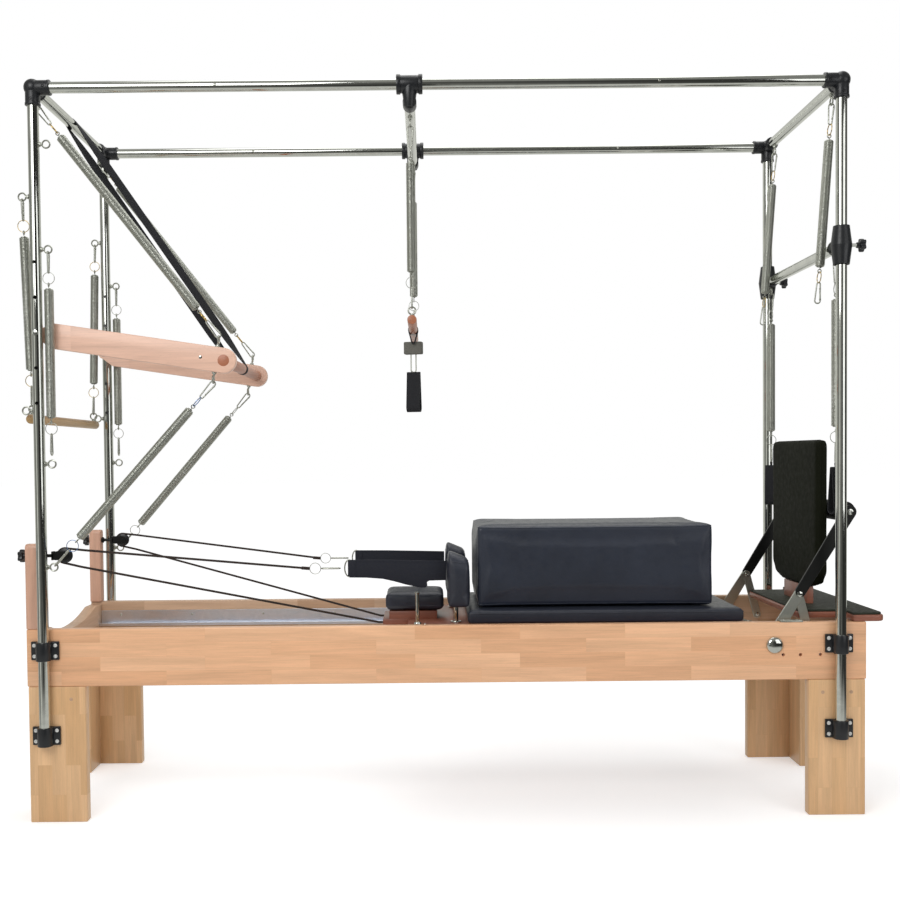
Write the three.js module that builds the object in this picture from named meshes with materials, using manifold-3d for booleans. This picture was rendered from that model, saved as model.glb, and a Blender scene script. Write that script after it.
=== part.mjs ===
// A pilates trapeze table: a wooden bed with a sprung sliding carriage under a chrome tube frame.
// Millimetres, +X to the foot end, +Y to the back, +Z up. X = 0 is midway between the posts, Y = 0 is midway
// across the bed and Z = 0 is the floor; the last lines centre the table on its own footprint.
import * as THREE from 'three';
import { mergeVertices } from 'three/addons/utils/BufferGeometryUtils.js';
import Module from 'manifold-3d';

const wasm = await Module();
wasm.setup();

// General clearances and facet counts
const gap = 0.3; // between pieces that touch
const overrun = 4; // how far a cutter passes a face
const mergeDistance = 1e-4;
const roundSides = 10;
const smallSides = 8;
const boltSides = 4;
const holeSides = 6;
const boreSides = 8;
const stepsPerLobe = 3;
const wireSides = 4;
const thinSides = 3;
const eyeSteps = 6;
const hexSides = 6;
const arcSteps = 3;

// The bed and the tube frame, and where their ends, sides and posts stand
const bed = {
  length: 2480, width: 642, leftOverhang: 57, rightOverhang: 83, legHeight: 404, railHeight: 170,
  railThick: 32,
};
const tube = { radius: 16, wall: 2 };
const frame = { topZ: 2150, standOff: 3, postBottomZ: 247 };
const postX = (bed.length - bed.leftOverhang - bed.rightOverhang) / 2;
const bedLeftX = -postX - bed.leftOverhang;
const bedRightX = postX + bed.rightOverhang;
const halfBed = bed.width / 2;
const railInnerY = halfBed - bed.railThick;
const postY = halfBed + frame.standOff + tube.radius;

// Lengthwise places: in from the bed's right end (the platform's nose stands past it), back from the
// carriage's right end, and in from the left posts
const fromFoot = {
  platformNose: 57, footbarBar: 31, platformWide: 39, jumpBoard: 91, railHoles: [246, 195, 136],
  strutFoot: 145, platform: 177, springBar: 213, footbarPivot: 271, track: 313, carriage: 323,
};
const fromCarriageEnd = {
  board: 1034, tongue: 1114, restBlock: 942, padLeft: 857, padRight: 4, headrestLeft: 1111,
  headrestRight: 915, shoulderLeft: 914, shoulderRight: 839, stem: 885, peg: 1003, springPlate: 444,
  boxLeft: 822, boxRight: 88, strap: 1213, ring: 1318,
};
const fromLeftPosts = { pushTip: 536, pulley: 55, fork: 20 };

// Crosswise places: in from the rails' inner faces, from the carriage's edges, from the bed's sides and from
// the posts' middles
const fromRails = { carriage: 49, jumpBoard: 74, footbarArm: 19, footbarPad: 45 };
const fromCarriageEdge = { pad: 2, box: 55, peg: 34, shoulder: 72 };
const fromBedSide = { platformWaist: 73 };
const fromPosts = {
  pushArm: 34, pushEye: 44, rollDown: 30, rollDownEye: 50, trapeze: 60, trapezeEye: 90, topRightEye: 78,
  lowRightEye: 40,
};

// Heights on the frame, in equal parts of the rise from the rails' top to the top tubes
const railTopZ = bed.legHeight + bed.railHeight;
const riseShares = {
  whole: 1576, spareEye: 1414, rollDownEye: 1263, freeSpring: 1111, heightSlider: 1101, pushPivot: 869,
  outerSpareEye: 644, rollDownBar: 621,
};
const levelOf = (share) => railTopZ + ((frame.topZ - railTopZ) * share) / riseShares.whole;
const trapezeDrop = 670; // from the top tubes to the trapeze bar
const carriageRightX = bedRightX - fromFoot.carriage;
const carriageHalf = railInnerY - fromRails.carriage;

// Wooden bed
const leg = { frontWidth: 168, frontThick: 34, sideDepth: 145, sideThick: 23, inset: 3 };
const endBoard = { thick: 38, scoopDepth: 34, shoulder: 70, dropLeft: 8 };
const riser = { depth: 40, height: 252, boltBelowTop: 36, topRound: 12 };
const platform = {
  leftX: bedRightX - fromFoot.platform,
  rightX: bedRightX + fromFoot.platformNose,
  wideFromX: bedRightX - fromFoot.platformWide,
  narrowHalf: halfBed - fromBedSide.platformWaist,
  thick: 26,
  cornerRadius: 24,
};
const track = {
  rightX: bedRightX - fromFoot.track,
  flangeHeight: 50, flangeThick: 4, ledgeWidth: 34, ledgeThick: 5, ledgeZ: 493, lip: 4,
};
const springBar = { x: bedRightX - fromFoot.springBar, z: 500, radius: 8, footThick: 6, footRadius: 18 };
const railHoles = { xs: fromFoot.railHoles.map((inset) => bedRightX - inset), z: 478, radius: 5 };

// Tube frame
const hole = { radius: 5, pitch: 102, below: 2, above: 2 };
const saddle = { width: 82, height: 55, thick: 8, shell: 6, lowerZ: 260, upperZ: 512 };
const corner = {
  ballRadius: 25, sleeveRadius: 21, sleeveLength: 52, tubeStop: 20, ballSteps: 8, ballRings: 5,
};
const eye = { radius: 11, wire: 2.5, shank: 3.5, reach: 20, tip: 5 };
const ventRadius = 3;

// Sliders on the frame
const trapezeSlider = {
  x: -80, collarRadius: 25, rimRadius: 28, rimLength: 12, length: 76, dropZ: 50, neckRadius: 14,
};
const heightSlider = {
  z: levelOf(riseShares.heightSlider),
  collarRadius: 23, length: 112, bossRadius: 30, bossLength: 50, knobReach: 14,
};
const knob = { radius: 20, thick: 15, lobes: 5, lobeDepth: 6, hubRadius: 9, hubLength: 8, boltRadius: 5 };

// Rope pulleys on the risers
const pulley = {
  x: -postX + fromLeftPosts.pulley,
  radius: 22, grooveRadius: 18, width: 12, grooveHalf: 4, cheekThick: 3, pinRadius: 4,
};
const fork = {
  backX: -postX + fromLeftPosts.fork,
  backThick: 5, halfHeight: 13, round: 10.4, nose: 13, nutRadius: 10, nutThick: 8,
};

// Springs, with a split ring and a snap hook at each end
const spring = { radius: 14, wire: 3.2, tipRadius: 4, pitch: 5, neckLength: 12 };
const curlsPerEnd = 1;
const curlSteps = 6;
const straightSteps = 1;
const coreSteps = 8;
const splitRing = { radius: 17, wire: 1.7, steps: 8 };
const hook = { halfWidth: 8, length: 62, wire: 2.2, steps: 6, swivelRadius: 3.6 };
const shortBody = 375;

// Push-through bar, its springs and its safety strap
const pushBar = {
  tipX: -postX + fromLeftPosts.pushTip,
  armY: postY - fromPosts.pushArm,
  pivotZ: levelOf(riseShares.pushPivot),
  tipDrop: 82, height: 74, thick: 24, dowelRadius: 17, noseRadius: 17, flare: 36, boltRadius: 5,
  headRadius: 9, headThick: 6,
};
const pushTipZ = pushBar.pivotZ - pushBar.tipDrop;
const pushEyes = { topY: postY - fromPosts.pushEye, backFromTip: 24, lowerZ: 760, reach: 22 };
const safetyStrap = { width: 25, thick: 3 };

// Hanging bars and springs
const rollDown = {
  topZ: levelOf(riseShares.rollDownEye),
  z: levelOf(riseShares.rollDownBar),
  half: postY - fromPosts.rollDown,
  eyeY: postY - fromPosts.rollDownEye,
  radius: 14,
};
const freeSpringZ = levelOf(riseShares.freeSpring);
const spareEyeDrop = 623; // from a free spring's eye to the spare eye below the spring
const spareEyesZ = {
  innerTop: levelOf(riseShares.spareEye),
  outerLow: levelOf(riseShares.outerSpareEye),
  innerLow: freeSpringZ - spareEyeDrop,
};
const trapeze = {
  z: frame.topZ - trapezeDrop,
  half: postY - fromPosts.trapeze,
  eyeY: postY - fromPosts.trapezeEye,
  radius: 14,
};
const sling = {
  width: 44, loopThick: 4, neckDrop: 26, cuffHeight: 133, cuffBulge: 13, cuffThick: 5, cuffPinch: 1,
  padHeight: 30,
};
const topRightEyeY = postY - fromPosts.topRightEye;
const lowRightEyeY = postY - fromPosts.lowRightEye;
const footStrap = { width: 40, height: 146, bulge: 12, thick: 4 };

// Carriage
const carriage = {
  leftX: carriageRightX - fromCarriageEnd.board,
  rightX: carriageRightX,
  tongueX: carriageRightX - fromCarriageEnd.tongue,
  restBlockX: carriageRightX - fromCarriageEnd.restBlock,
  halfWidth: carriageHalf,
  boardZ: 536, boardThick: 24, wheelRadius: 18, wheelWidth: 16, wheelInset: 110, axleRadius: 5,
  tongueHalf: 90, hangerThick: 20, hangerDrop: 10,
};
const pad = {
  leftX: carriageRightX - fromCarriageEnd.padLeft,
  rightX: carriageRightX - fromCarriageEnd.padRight,
  halfWidth: carriageHalf - fromCarriageEdge.pad,
  thick: 45, crown: 3, drawIn: 5, round: 8,
};
const headrest = {
  leftX: carriageRightX - fromCarriageEnd.headrestLeft,
  rightX: carriageRightX - fromCarriageEnd.headrestRight,
  halfWidth: 100, bottomZ: 585, thick: 60, crown: 7, drawIn: 5, round: 12,
};
const shoulder = {
  leftX: carriageRightX - fromCarriageEnd.shoulderLeft,
  rightX: carriageRightX - fromCarriageEnd.shoulderRight,
  stemX: carriageRightX - fromCarriageEnd.stem,
  y: carriageHalf - fromCarriageEdge.shoulder,
  halfWidth: 56, bottomZ: 607, topZ: 788, crown: 10, drawIn: 4, round: 12, stemRadius: 8,
};
const peg = {
  x: carriageRightX - fromCarriageEnd.peg,
  y: carriageHalf - fromCarriageEdge.peg,
  radius: 6, height: 102, footRadius: 12, footThick: 8,
};
const springPlate = { x: carriageRightX - fromCarriageEnd.springPlate, thick: 12, halfWidth: 150, depth: 40 };
const underSpring = {
  radius: 12, neckRadius: 3, taper: 24, wire: 1.6, spacing: 80, count: 4, steps: 6, loopSlack: 2.4,
};
const sittingBox = {
  leftX: carriageRightX - fromCarriageEnd.boxLeft,
  rightX: carriageRightX - fromCarriageEnd.boxRight,
  halfWidth: carriageHalf - fromCarriageEdge.box,
  height: 256, crown: 4, drawIn: 4, round: 10,
};
const cushionCells = { long: 6, wide: 4, high: 3 };

// Foot end
const jumpBoard = {
  x: bedRightX - fromFoot.jumpBoard,
  halfWidth: railInnerY - fromRails.jumpBoard,
  thick: 36, bottomZ: 650, topZ: 1115, round: 30, tabHalf: 110, tabThick: 20, tabDepth: 20,
};
const footbar = {
  pivotX: bedRightX - fromFoot.footbarPivot,
  barX: bedRightX - fromFoot.footbarBar,
  strutFootX: bedRightX - fromFoot.strutFoot,
  armY: railInnerY - fromRails.footbarArm,
  padHalf: railInnerY - fromRails.footbarPad,
  pivotZ: 507, barZ: 896, armWidth: 38, armThick: 8, padRadius: 30, coreRadius: 12, collarRadius: 14,
  pinRadius: 8, domeRadius: 25.5, domeHeight: 12, domeWideShare: 0.9, domeHalfShare: 0.5,
  strutAt: 170, strutFootZ: 512, strutWidth: 26, strutThick: 6,
};

// Ropes and shoulder straps
const rope = {
  ringX: carriageRightX - fromCarriageEnd.ring,
  strapX: carriageRightX - fromCarriageEnd.strap,
  radius: 3.5, sides: 8, arcSteps: 8, z: 731, strapThick: 4, strapHeight: 50, straightRun: 55,
  strandShares: [0.35, 0.65, 0.86],
};
const ropeAnchor = { y: 70, straight: 14 };

// Sizes that follow from the ones above
const boreRadius = tube.radius - tube.wall;
const socketRadius = tube.radius + gap;
const carriageTopZ = carriage.boardZ + carriage.boardThick;
const padTopZ = carriageTopZ + gap + pad.thick;
const platformTopZ = railTopZ + gap + platform.thick;
const riserBoltZ = railTopZ + gap + riser.height - riser.boltBelowTop;
const wheelZ = track.ledgeZ + track.ledgeThick + gap + carriage.wheelRadius;
const beltSteps = 4 * arcSteps - 1; // facets that a whole turn of a belt's end would have
const fullTurn = Math.PI * 2;
const quarterTurn = Math.PI / 2;

// The corner radius of a faceted bore that leaves the gap to a round piece at its flats
const clearing = (radius, steps) => (radius + gap) / Math.cos(Math.PI / steps);

const sides = { front: -1, back: 1 };
const ends = { left: -1, right: 1 };

// Materials
const finish = (color, roughness, metalness = 0) =>
  new THREE.MeshStandardMaterial({ color, roughness, metalness });
const wood = finish(0xe1af87, 0.45);
const legWood = finish(0xd4ac7d, 0.5);
const barWood = finish(0xd9b09c, 0.4);
const chrome = finish(0xc8ccc8, 0.12, 1);
const aluminium = finish(0xc9cdd2, 0.35, 1);
const steel = finish(0xa9aba6, 0.25, 1);
const black = finish(0x1e2023, 0.5);
const leather = finish(0x2b303c, 0.45);
const webbing = finish(0x17171a, 0.9);

const table = new THREE.Group();
const v = (x, y, z) => new THREE.Vector3(x, y, z);
const along = { x: v(1, 0, 0), y: v(0, 1, 0), z: v(0, 0, 1) };
const down = v(0, 0, -1);

// A closed three.js geometry as a solid that can be joined and cut, turned right way out if need be
function solidOf(geometry) {
  const bare = geometry.clone();
  bare.deleteAttribute('normal');
  bare.deleteAttribute('uv');
  const merged = mergeVertices(bare, mergeDistance);
  const vertProperties = new Float32Array(merged.attributes.position.array);
  const triVerts = new Uint32Array(merged.index.array);
  const corners = [v(0, 0, 0), v(0, 0, 0), v(0, 0, 0)];
  let volume = 0;
  for (let i = 0; i < triVerts.length; i += 3) {
    corners.forEach((point, k) => point.fromArray(vertProperties, 3 * triVerts[i + k]));
    volume += corners[0].dot(corners[1].clone().cross(corners[2]));
  }
  if (volume < 0) triVerts.reverse();
  return new wasm.Manifold(new wasm.Mesh({ numProp: 3, vertProperties, triVerts }));
}

const join = (...solids) => solids.flat().reduce((whole, solid) => whole.add(solid));
const cut = (solid, ...cutters) => cutters.flat().reduce((left, cutter) => left.subtract(cutter), solid);

// Adds a finished solid to the table as one named mesh
function place(name, solid, material) {
  const { numProp, vertProperties, triVerts } = solid.getMesh();
  const positions = new Float32Array((vertProperties.length / numProp) * 3);
  for (let i = 0; i < positions.length; i += 1) {
    positions[i] = vertProperties[Math.floor(i / 3) * numProp + (i % 3)];
  }
  const geometry = new THREE.BufferGeometry();
  geometry.setAttribute('position', new THREE.BufferAttribute(positions, 3));
  geometry.setIndex(new THREE.BufferAttribute(new Uint32Array(triVerts), 1));
  geometry.computeVertexNormals();
  const mesh = new THREE.Mesh(geometry, material);
  mesh.name = name;
  table.add(mesh);
}

function block(low, high) {
  const size = high.clone().sub(low);
  const middle = low.clone().add(high).divideScalar(2);
  const geometry = new THREE.BoxGeometry(Math.abs(size.x), Math.abs(size.y), Math.abs(size.z));
  return solidOf(geometry.translate(middle.x, middle.y, middle.z));
}

// A round bar or cone from one point to another
function rod(from, to, radius, steps = smallSides, endRadius = radius) {
  const way = to.clone().sub(from);
  const geometry = new THREE.CylinderGeometry(endRadius, radius, way.length(), steps);
  const turn = new THREE.Quaternion().setFromUnitVectors(along.y, way.clone().normalize());
  const middle = from.clone().add(to).divideScalar(2);
  return solidOf(geometry.applyQuaternion(turn).translate(middle.x, middle.y, middle.z));
}

// Bases that stand a flat ring up so that it faces along Y or along X
const facing = {
  y: [along.x, along.z, v(0, -1, 0)],
  x: [along.y, along.z, along.x],
};

// A ring about a centre; stretch pulls it into a long link
function ring(centre, face, radius, wire, steps, stretch = 0) {
  const geometry = new THREE.TorusGeometry(radius, wire, thinSides, steps).rotateZ(quarterTurn);
  const position = geometry.attributes.position;
  for (let i = 0; i < position.count; i += 1) {
    const y = position.getY(i);
    if (Math.abs(y) > wire) position.setY(i, y + (Math.sign(y) * stretch) / 2);
  }
  geometry.applyMatrix4(new THREE.Matrix4().makeBasis(...facing[face]));
  return solidOf(geometry.translate(centre.x, centre.y, centre.z));
}

const shapeOf = (points) => new THREE.Shape(points.map(([x, y]) => new THREE.Vector2(x, y)));

// Outlines seen from the front (X, Z), from the end (Y, Z) and from above (X, Y), pushed out to a thickness
function extrude(shape, depth, basis, offset) {
  const geometry = new THREE.ExtrudeGeometry(shape, { depth, bevelEnabled: false, curveSegments: arcSteps });
  geometry.applyMatrix4(new THREE.Matrix4().makeBasis(...basis));
  return solidOf(geometry.translate(offset.x, offset.y, offset.z));
}
const fromFront = (shape, lowY, highY) => extrude(shape, highY - lowY, facing.y, v(0, highY, 0));
const fromEnd = (shape, lowX, highX) => extrude(shape, highX - lowX, facing.x, v(lowX, 0, 0));
const fromAbove = (shape, lowZ, highZ) =>
  extrude(shape, highZ - lowZ, [along.x, along.y, along.z], v(0, 0, lowZ));

function roundedRect(x0, x1, y0, y1, radius) {
  const shape = new THREE.Shape();
  shape.absarc(x1 - radius, y0 + radius, radius, -quarterTurn, 0);
  shape.absarc(x1 - radius, y1 - radius, radius, 0, quarterTurn);
  shape.absarc(x0 + radius, y1 - radius, radius, quarterTurn, Math.PI);
  shape.absarc(x0 + radius, y0 + radius, radius, Math.PI, Math.PI + quarterTurn);
  return shape;
}

// The outline of a belt round two circles, for bars with round ends and for straps
function beltShape([ax, ay], [bx, by], radiusA, radiusB) {
  const angle = Math.atan2(by - ay, bx - ax);
  const lean = Math.acos((radiusA - radiusB) / Math.hypot(bx - ax, by - ay));
  const shape = new THREE.Shape();
  shape.absarc(ax, ay, radiusA, angle + lean, angle - lean + fullTurn);
  shape.absarc(bx, by, radiusB, angle - lean, angle + lean);
  return shape;
}

// A tube swept along a curve, with flat ends
function sweep(curve, radius, steps, sectionSides) {
  const section = [];
  for (let i = 0; i < sectionSides; i += 1) {
    const angle = (i / sectionSides) * fullTurn;
    section.push([radius * Math.cos(angle), radius * Math.sin(angle)]);
  }
  const settings = { steps, extrudePath: curve, bevelEnabled: false };
  return solidOf(new THREE.ExtrudeGeometry(shapeOf(section), settings));
}

// A route through chosen points, one step of a sweep from each to the next
class Route extends THREE.Curve {
  constructor(points) {
    super();
    this.points = points;
  }

  getPoint(t, target = v(0, 0, 0)) {
    const step = t * (this.points.length - 1);
    const from = Math.min(Math.floor(step), this.points.length - 2);
    return target.lerpVectors(this.points[from], this.points[from + 1], step - from);
  }

  getPointAt(u, target) {
    return this.getPoint(u, target);
  }

  getTangentAt(u, target = v(0, 0, 0)) {
    const step = 1 / (2 * (this.points.length - 1));
    const ahead = this.getPoint(Math.min(u + step, 1));
    return target.copy(ahead).sub(this.getPoint(Math.max(u - step, 0))).normalize();
  }
}

// A turned piece: pairs of radius and height, its axis along Z
function revolve(profile, steps) {
  const points = profile.map(([radius, z]) => new THREE.Vector2(radius, z));
  return new THREE.LatheGeometry(points, steps).rotateX(quarterTurn);
}

// A shank and an eye, from a point in a direction
function eyeBolt(from, direction, reach, face) {
  const centre = from.clone().addScaledVector(direction, reach);
  const neckEnd = from.clone().addScaledVector(direction, reach - eye.radius);
  return join(rod(from, neckEnd, eye.shank, boltSides), ring(centre, face, eye.radius, eye.wire, eyeSteps));
}

// A cushion: crowned on top, its edges rounded, its sides drawn in between the corners
function cushion(low, high, { crown, drawIn, round }) {
  const size = high.clone().sub(low);
  const middle = low.clone().add(high).divideScalar(2);
  const { long, wide, high: layers } = cushionCells;
  const geometry = new THREE.BoxGeometry(size.x, size.y, size.z, long, wide, layers);
  const position = geometry.attributes.position;
  for (let i = 0; i < position.count; i += 1) {
    const [u, w, t] = [0, 1, 2].map((k) => (2 * position.getComponent(i, k)) / size.getComponent(k));
    const rim = round * t ** 4;
    const pullX = rim + drawIn * (1 - w * w);
    const pullY = rim + drawIn * (1 - u * u);
    const fall = t > 0 ? crown * t * (1 - (1 - u ** 4) * (1 - w ** 4)) : 0;
    position.setXYZ(
      i,
      u * (size.x / 2 - pullX) + middle.x,
      w * (size.y / 2 - pullY) + middle.y,
      position.getZ(i) - fall + middle.z,
    );
  }
  return solidOf(geometry);
}

const neckRun = spring.neckLength + 2 * splitRing.wire;

// The wire at a spring's end: straight off the ring, then winding outward until it dips into the body's end
class EndCurl extends THREE.Curve {
  getPoint(t, target = v(0, 0, 0)) {
    const stepsInAll = straightSteps + curlsPerEnd * curlSteps + 1;
    const step = t * stepsInAll;
    if (step <= straightSteps) return target.set(0, 0, neckRun * (step / straightSteps - 1));
    const turned = Math.min((step - straightSteps) / curlSteps, curlsPerEnd);
    const lastRadius = spring.radius - spring.wire / 2;
    const swing = spring.tipRadius + ((lastRadius - spring.tipRadius) * turned) / curlsPerEnd;
    const dip = Math.max(step - stepsInAll + 1, 0) * 2 * spring.wire;
    const angle = turned * fullTurn;
    return target.set(swing * Math.cos(angle), swing * Math.sin(angle), turned * spring.pitch + dip);
  }

  // A step of the sweep is a step of the winding, however long it is
  getPointAt(u, target) {
    return this.getPoint(u, target);
  }

  getTangentAt(u, target) {
    return this.getTangent(u, target);
  }
}

// The least gap between turns of one end's wire, measured on points that lie over half a turn apart
function leastCurlGap() {
  const samples = 600;
  const wound = new EndCurl().getPoints(samples).filter((point) => point.z >= 0);
  const apart = Math.floor(wound.length / (2 * curlsPerEnd));
  let least = Infinity;
  for (let i = 0; i < wound.length; i += 1) {
    for (let j = i + apart; j < wound.length; j += 1) least = Math.min(least, wound[i].distanceTo(wound[j]));
  }
  return least - spring.wire;
}

// How far an end's hook, ring and neck reach from the hanging point to the spring's body
const hookTop = eye.wire + gap + hook.wire;
const endReach = hook.length - hookTop + 2 * splitRing.radius + spring.neckLength;
const curlEnd = curlsPerEnd * spring.pitch + spring.wire / 2 + gap;

// One spring from its upper hanging point towards its lower one. Each end says which way its hook faces.
function springSolid(from, to, upperFace, lowerFace) {
  const total = from.distanceTo(to);
  const bodyLength = total - 2 * endReach;
  const { radius, wire } = spring;
  const body = rod(v(0, 0, -endReach - curlEnd), v(0, 0, curlEnd - endReach - bodyLength), radius, coreSteps);
  const curl = sweep(new EndCurl(), wire / 2, straightSteps + curlsPerEnd * curlSteps + 1, wireSides);
  const across = { x: 'y', y: 'x' };
  // An end hangs below the origin with its hook at the top
  const end = (face) => {
    const linkMiddle = hookTop - hook.length / 2;
    const stretch = hook.length - 2 * hook.halfWidth;
    const ringMiddle = hookTop - hook.length - splitRing.radius + splitRing.wire;
    return join(
      ring(v(0, 0, linkMiddle), face, hook.halfWidth, hook.wire, hook.steps, stretch),
      ring(v(0, 0, ringMiddle), across[face], splitRing.radius, splitRing.wire, splitRing.steps),
      curl.rotate([180, 0, 0]).translate([0, 0, -endReach]),
    );
  };
  const whole = join(body, end(upperFace), end(lowerFace).rotate([180, 0, 0]).translate([0, 0, -total]));
  const up = from.clone().sub(to).normalize();
  const right = along.y.clone().cross(up).normalize();
  const back = up.clone().cross(right);
  const turned = new THREE.Matrix4().makeBasis(right, back, up).setPosition(from);
  return whole.transform(turned.elements);
}

// Points where a hook hangs: the lowest wire of an eye
const under = (centre) => centre.clone().addScaledVector(down, eye.radius);

// Bed
function bedFrame() {
  for (const [side, s] of Object.entries(sides)) {
    const outer = s * halfBed;
    const inner = s * railInnerY;
    const rail = block(
      v(bedLeftX, Math.min(outer, inner), bed.legHeight),
      v(bedRightX, Math.max(outer, inner), railTopZ),
    );
    const across = (x, z, radius) =>
      rod(v(x, inner - s * overrun, z), v(x, outer + s * overrun, z), radius, smallSides);
    const holes = railHoles.xs.map((x) => across(x, railHoles.z, railHoles.radius));
    const pinHole = across(footbar.pivotX, footbar.pivotZ, clearing(footbar.pinRadius, smallSides));
    place(`side_rail_${side}`, cut(rail, holes, pinHole), wood);

    for (const [end, e] of Object.entries(ends)) {
      const outerX = (e < 0 ? bedLeftX : bedRightX) - e * leg.inset;
      const plan = shapeOf([
        [outerX, outer],
        [outerX - e * leg.frontWidth, outer],
        [outerX - e * leg.frontWidth, outer - s * leg.frontThick],
        [outerX - e * leg.sideThick, outer - s * leg.frontThick],
        [outerX - e * leg.sideThick, outer - s * leg.sideDepth],
        [outerX, outer - s * leg.sideDepth],
      ]);
      place(`leg_${side}_${end}`, fromAbove(plan, 0, bed.legHeight - gap), legWood);
    }

    const riserRightX = bedLeftX + endBoard.thick;
    const riserFoot = railTopZ + gap;
    const riserShape = roundedRect(
      Math.min(outer, outer - s * riser.depth),
      Math.max(outer, outer - s * riser.depth),
      riserFoot - riser.topRound,
      riserFoot + riser.height,
      riser.topRound,
    );
    const squareFoot = block(
      v(bedLeftX - overrun, -bed.width, riserFoot - bed.railHeight),
      v(riserRightX + overrun, bed.width, riserFoot),
    );
    const boltY = outer - (s * riser.depth) / 2;
    const boltHole = rod(
      v(bedLeftX - overrun, boltY, riserBoltZ),
      v(riserRightX + overrun, boltY, riserBoltZ),
      knob.boltRadius + gap,
    );
    place(`riser_${side}`, cut(fromEnd(riserShape, bedLeftX, riserRightX), squareFoot, boltHole), wood);

    const flangeOuter = railInnerY - gap;
    const ledgeTop = track.ledgeZ + track.ledgeThick;
    const lipY = flangeOuter - track.ledgeWidth;
    const profile = shapeOf([
      [s * flangeOuter, track.ledgeZ],
      [s * flangeOuter, track.ledgeZ + track.flangeHeight],
      [s * (flangeOuter - track.flangeThick), track.ledgeZ + track.flangeHeight],
      [s * (flangeOuter - track.flangeThick), ledgeTop],
      [s * (lipY + track.lip), ledgeTop],
      [s * (lipY + track.lip), ledgeTop + track.lip],
      [s * lipY, ledgeTop + track.lip],
      [s * lipY, track.ledgeZ],
    ]);
    place(`track_${side}`, fromEnd(profile, bedLeftX + endBoard.thick + gap, track.rightX), aluminium);
  }

  const boardHalf = railInnerY - gap;
  const scoop = new THREE.Shape();
  const leftTop = railTopZ - endBoard.dropLeft;
  const scoopHalf = boardHalf - endBoard.shoulder;
  scoop.moveTo(-boardHalf, bed.legHeight);
  scoop.lineTo(boardHalf, bed.legHeight);
  scoop.lineTo(boardHalf, leftTop);
  scoop.lineTo(scoopHalf, leftTop);
  scoop.quadraticCurveTo(0, leftTop - 2 * endBoard.scoopDepth, -scoopHalf, leftTop);
  scoop.lineTo(-boardHalf, leftTop);
  place('end_board_left', fromEnd(scoop, bedLeftX, bedLeftX + endBoard.thick), wood);
  place(
    'end_board_right',
    block(v(bedRightX - endBoard.thick, -boardHalf, bed.legHeight), v(bedRightX, boardHalf, railTopZ)),
    wood,
  );

  const plan = new THREE.Shape();
  const { leftX, rightX, narrowHalf, wideFromX, cornerRadius } = platform;
  plan.moveTo(leftX, -narrowHalf);
  plan.lineTo(wideFromX, -narrowHalf);
  plan.lineTo(wideFromX, -halfBed);
  plan.absarc(rightX - cornerRadius, -halfBed + cornerRadius, cornerRadius, -quarterTurn, 0);
  plan.absarc(rightX - cornerRadius, halfBed - cornerRadius, cornerRadius, 0, quarterTurn);
  plan.lineTo(wideFromX, halfBed);
  plan.lineTo(wideFromX, narrowHalf);
  plan.lineTo(leftX, narrowHalf);
  const slotHalf = jumpBoard.tabThick / 2 + gap;
  const slot = block(
    v(jumpBoard.x - slotHalf, -jumpBoard.tabHalf - gap, platformTopZ - jumpBoard.tabDepth - gap),
    v(jumpBoard.x + slotHalf, jumpBoard.tabHalf + gap, platformTopZ + overrun),
  );
  place('standing_platform', cut(fromAbove(plan, railTopZ + gap, platformTopZ), slot), wood);

  const { x, z, radius, footThick, footRadius } = springBar;
  const barEnds = [-boardHalf, boardHalf].map((y) => v(x, y, z));
  const feet = barEnds.map((at) =>
    rod(at, at.clone().addScaledVector(along.y, -Math.sign(at.y) * footThick), footRadius, smallSides));
  place('spring_bar', join(rod(...barEnds, radius), feet), steel);
}

// Posts, with the two saddle clamps that hold each one to the bed and the eyebolts through it
function posts() {
  // A saddle clamp is one profile seen from above: two ears against the wood and a barrel round the tube
  const saddleAt = (s, x, z) => {
    const face = halfBed + gap;
    const front = face + saddle.thick;
    const barrelRadius = tube.radius + saddle.shell;
    const half = saddle.width / 2;
    const plan = new THREE.Shape();
    plan.moveTo(x - half, s * face);
    plan.lineTo(x - half, s * front);
    plan.absarc(x, s * postY, barrelRadius, Math.PI, 0, s > 0);
    plan.lineTo(x + half, s * front);
    plan.lineTo(x + half, s * face);
    return fromAbove(plan, z - saddle.height / 2, z + saddle.height / 2);
  };
  const eyesOn = {
    left: [
      { z: rollDown.topZ, way: -1 },
      { z: freeSpringZ, way: 1 },
      { z: spareEyesZ.innerTop, way: 1 },
      { z: spareEyesZ.outerLow, way: -1 },
      { z: spareEyesZ.innerLow, way: 1 },
      { z: pushEyes.lowerZ, way: 1 },
    ],
    right: [],
  };
  for (const [side, s] of Object.entries(sides)) {
    for (const [end, e] of Object.entries(ends)) {
      const x = e * postX;
      const y = s * postY;
      const top = frame.topZ - corner.tubeStop;
      const outside = join(
        rod(v(x, y, frame.postBottomZ), v(x, y, top), tube.radius, roundSides),
        saddleAt(s, x, saddle.lowerZ),
        saddleAt(s, x, saddle.upperZ),
      );
      const bore = rod(v(x, y, frame.postBottomZ + tube.wall), v(x, y, top + overrun), boreRadius, boreSides);
      const pinHoles = [];
      for (let k = -hole.below; end === 'left' && k <= hole.above; k += 1) {
        const z = pushBar.pivotZ + k * hole.pitch;
        const reach = tube.radius + overrun;
        const holeRadius = clearing(hole.radius, holeSides);
        pinHoles.push(rod(v(x, y - reach, z), v(x, y + reach, z), holeRadius, holeSides));
      }
      const eyes = eyesOn[end].map(({ z, way }) => {
        return eyeBolt(v(x, y, z), v(way, 0, 0), tube.radius + eye.reach, 'y');
      });
      place(`post_${side}_${end}`, cut(join(outside, eyes), bore, pinHoles), chrome);
    }
  }
}

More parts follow.
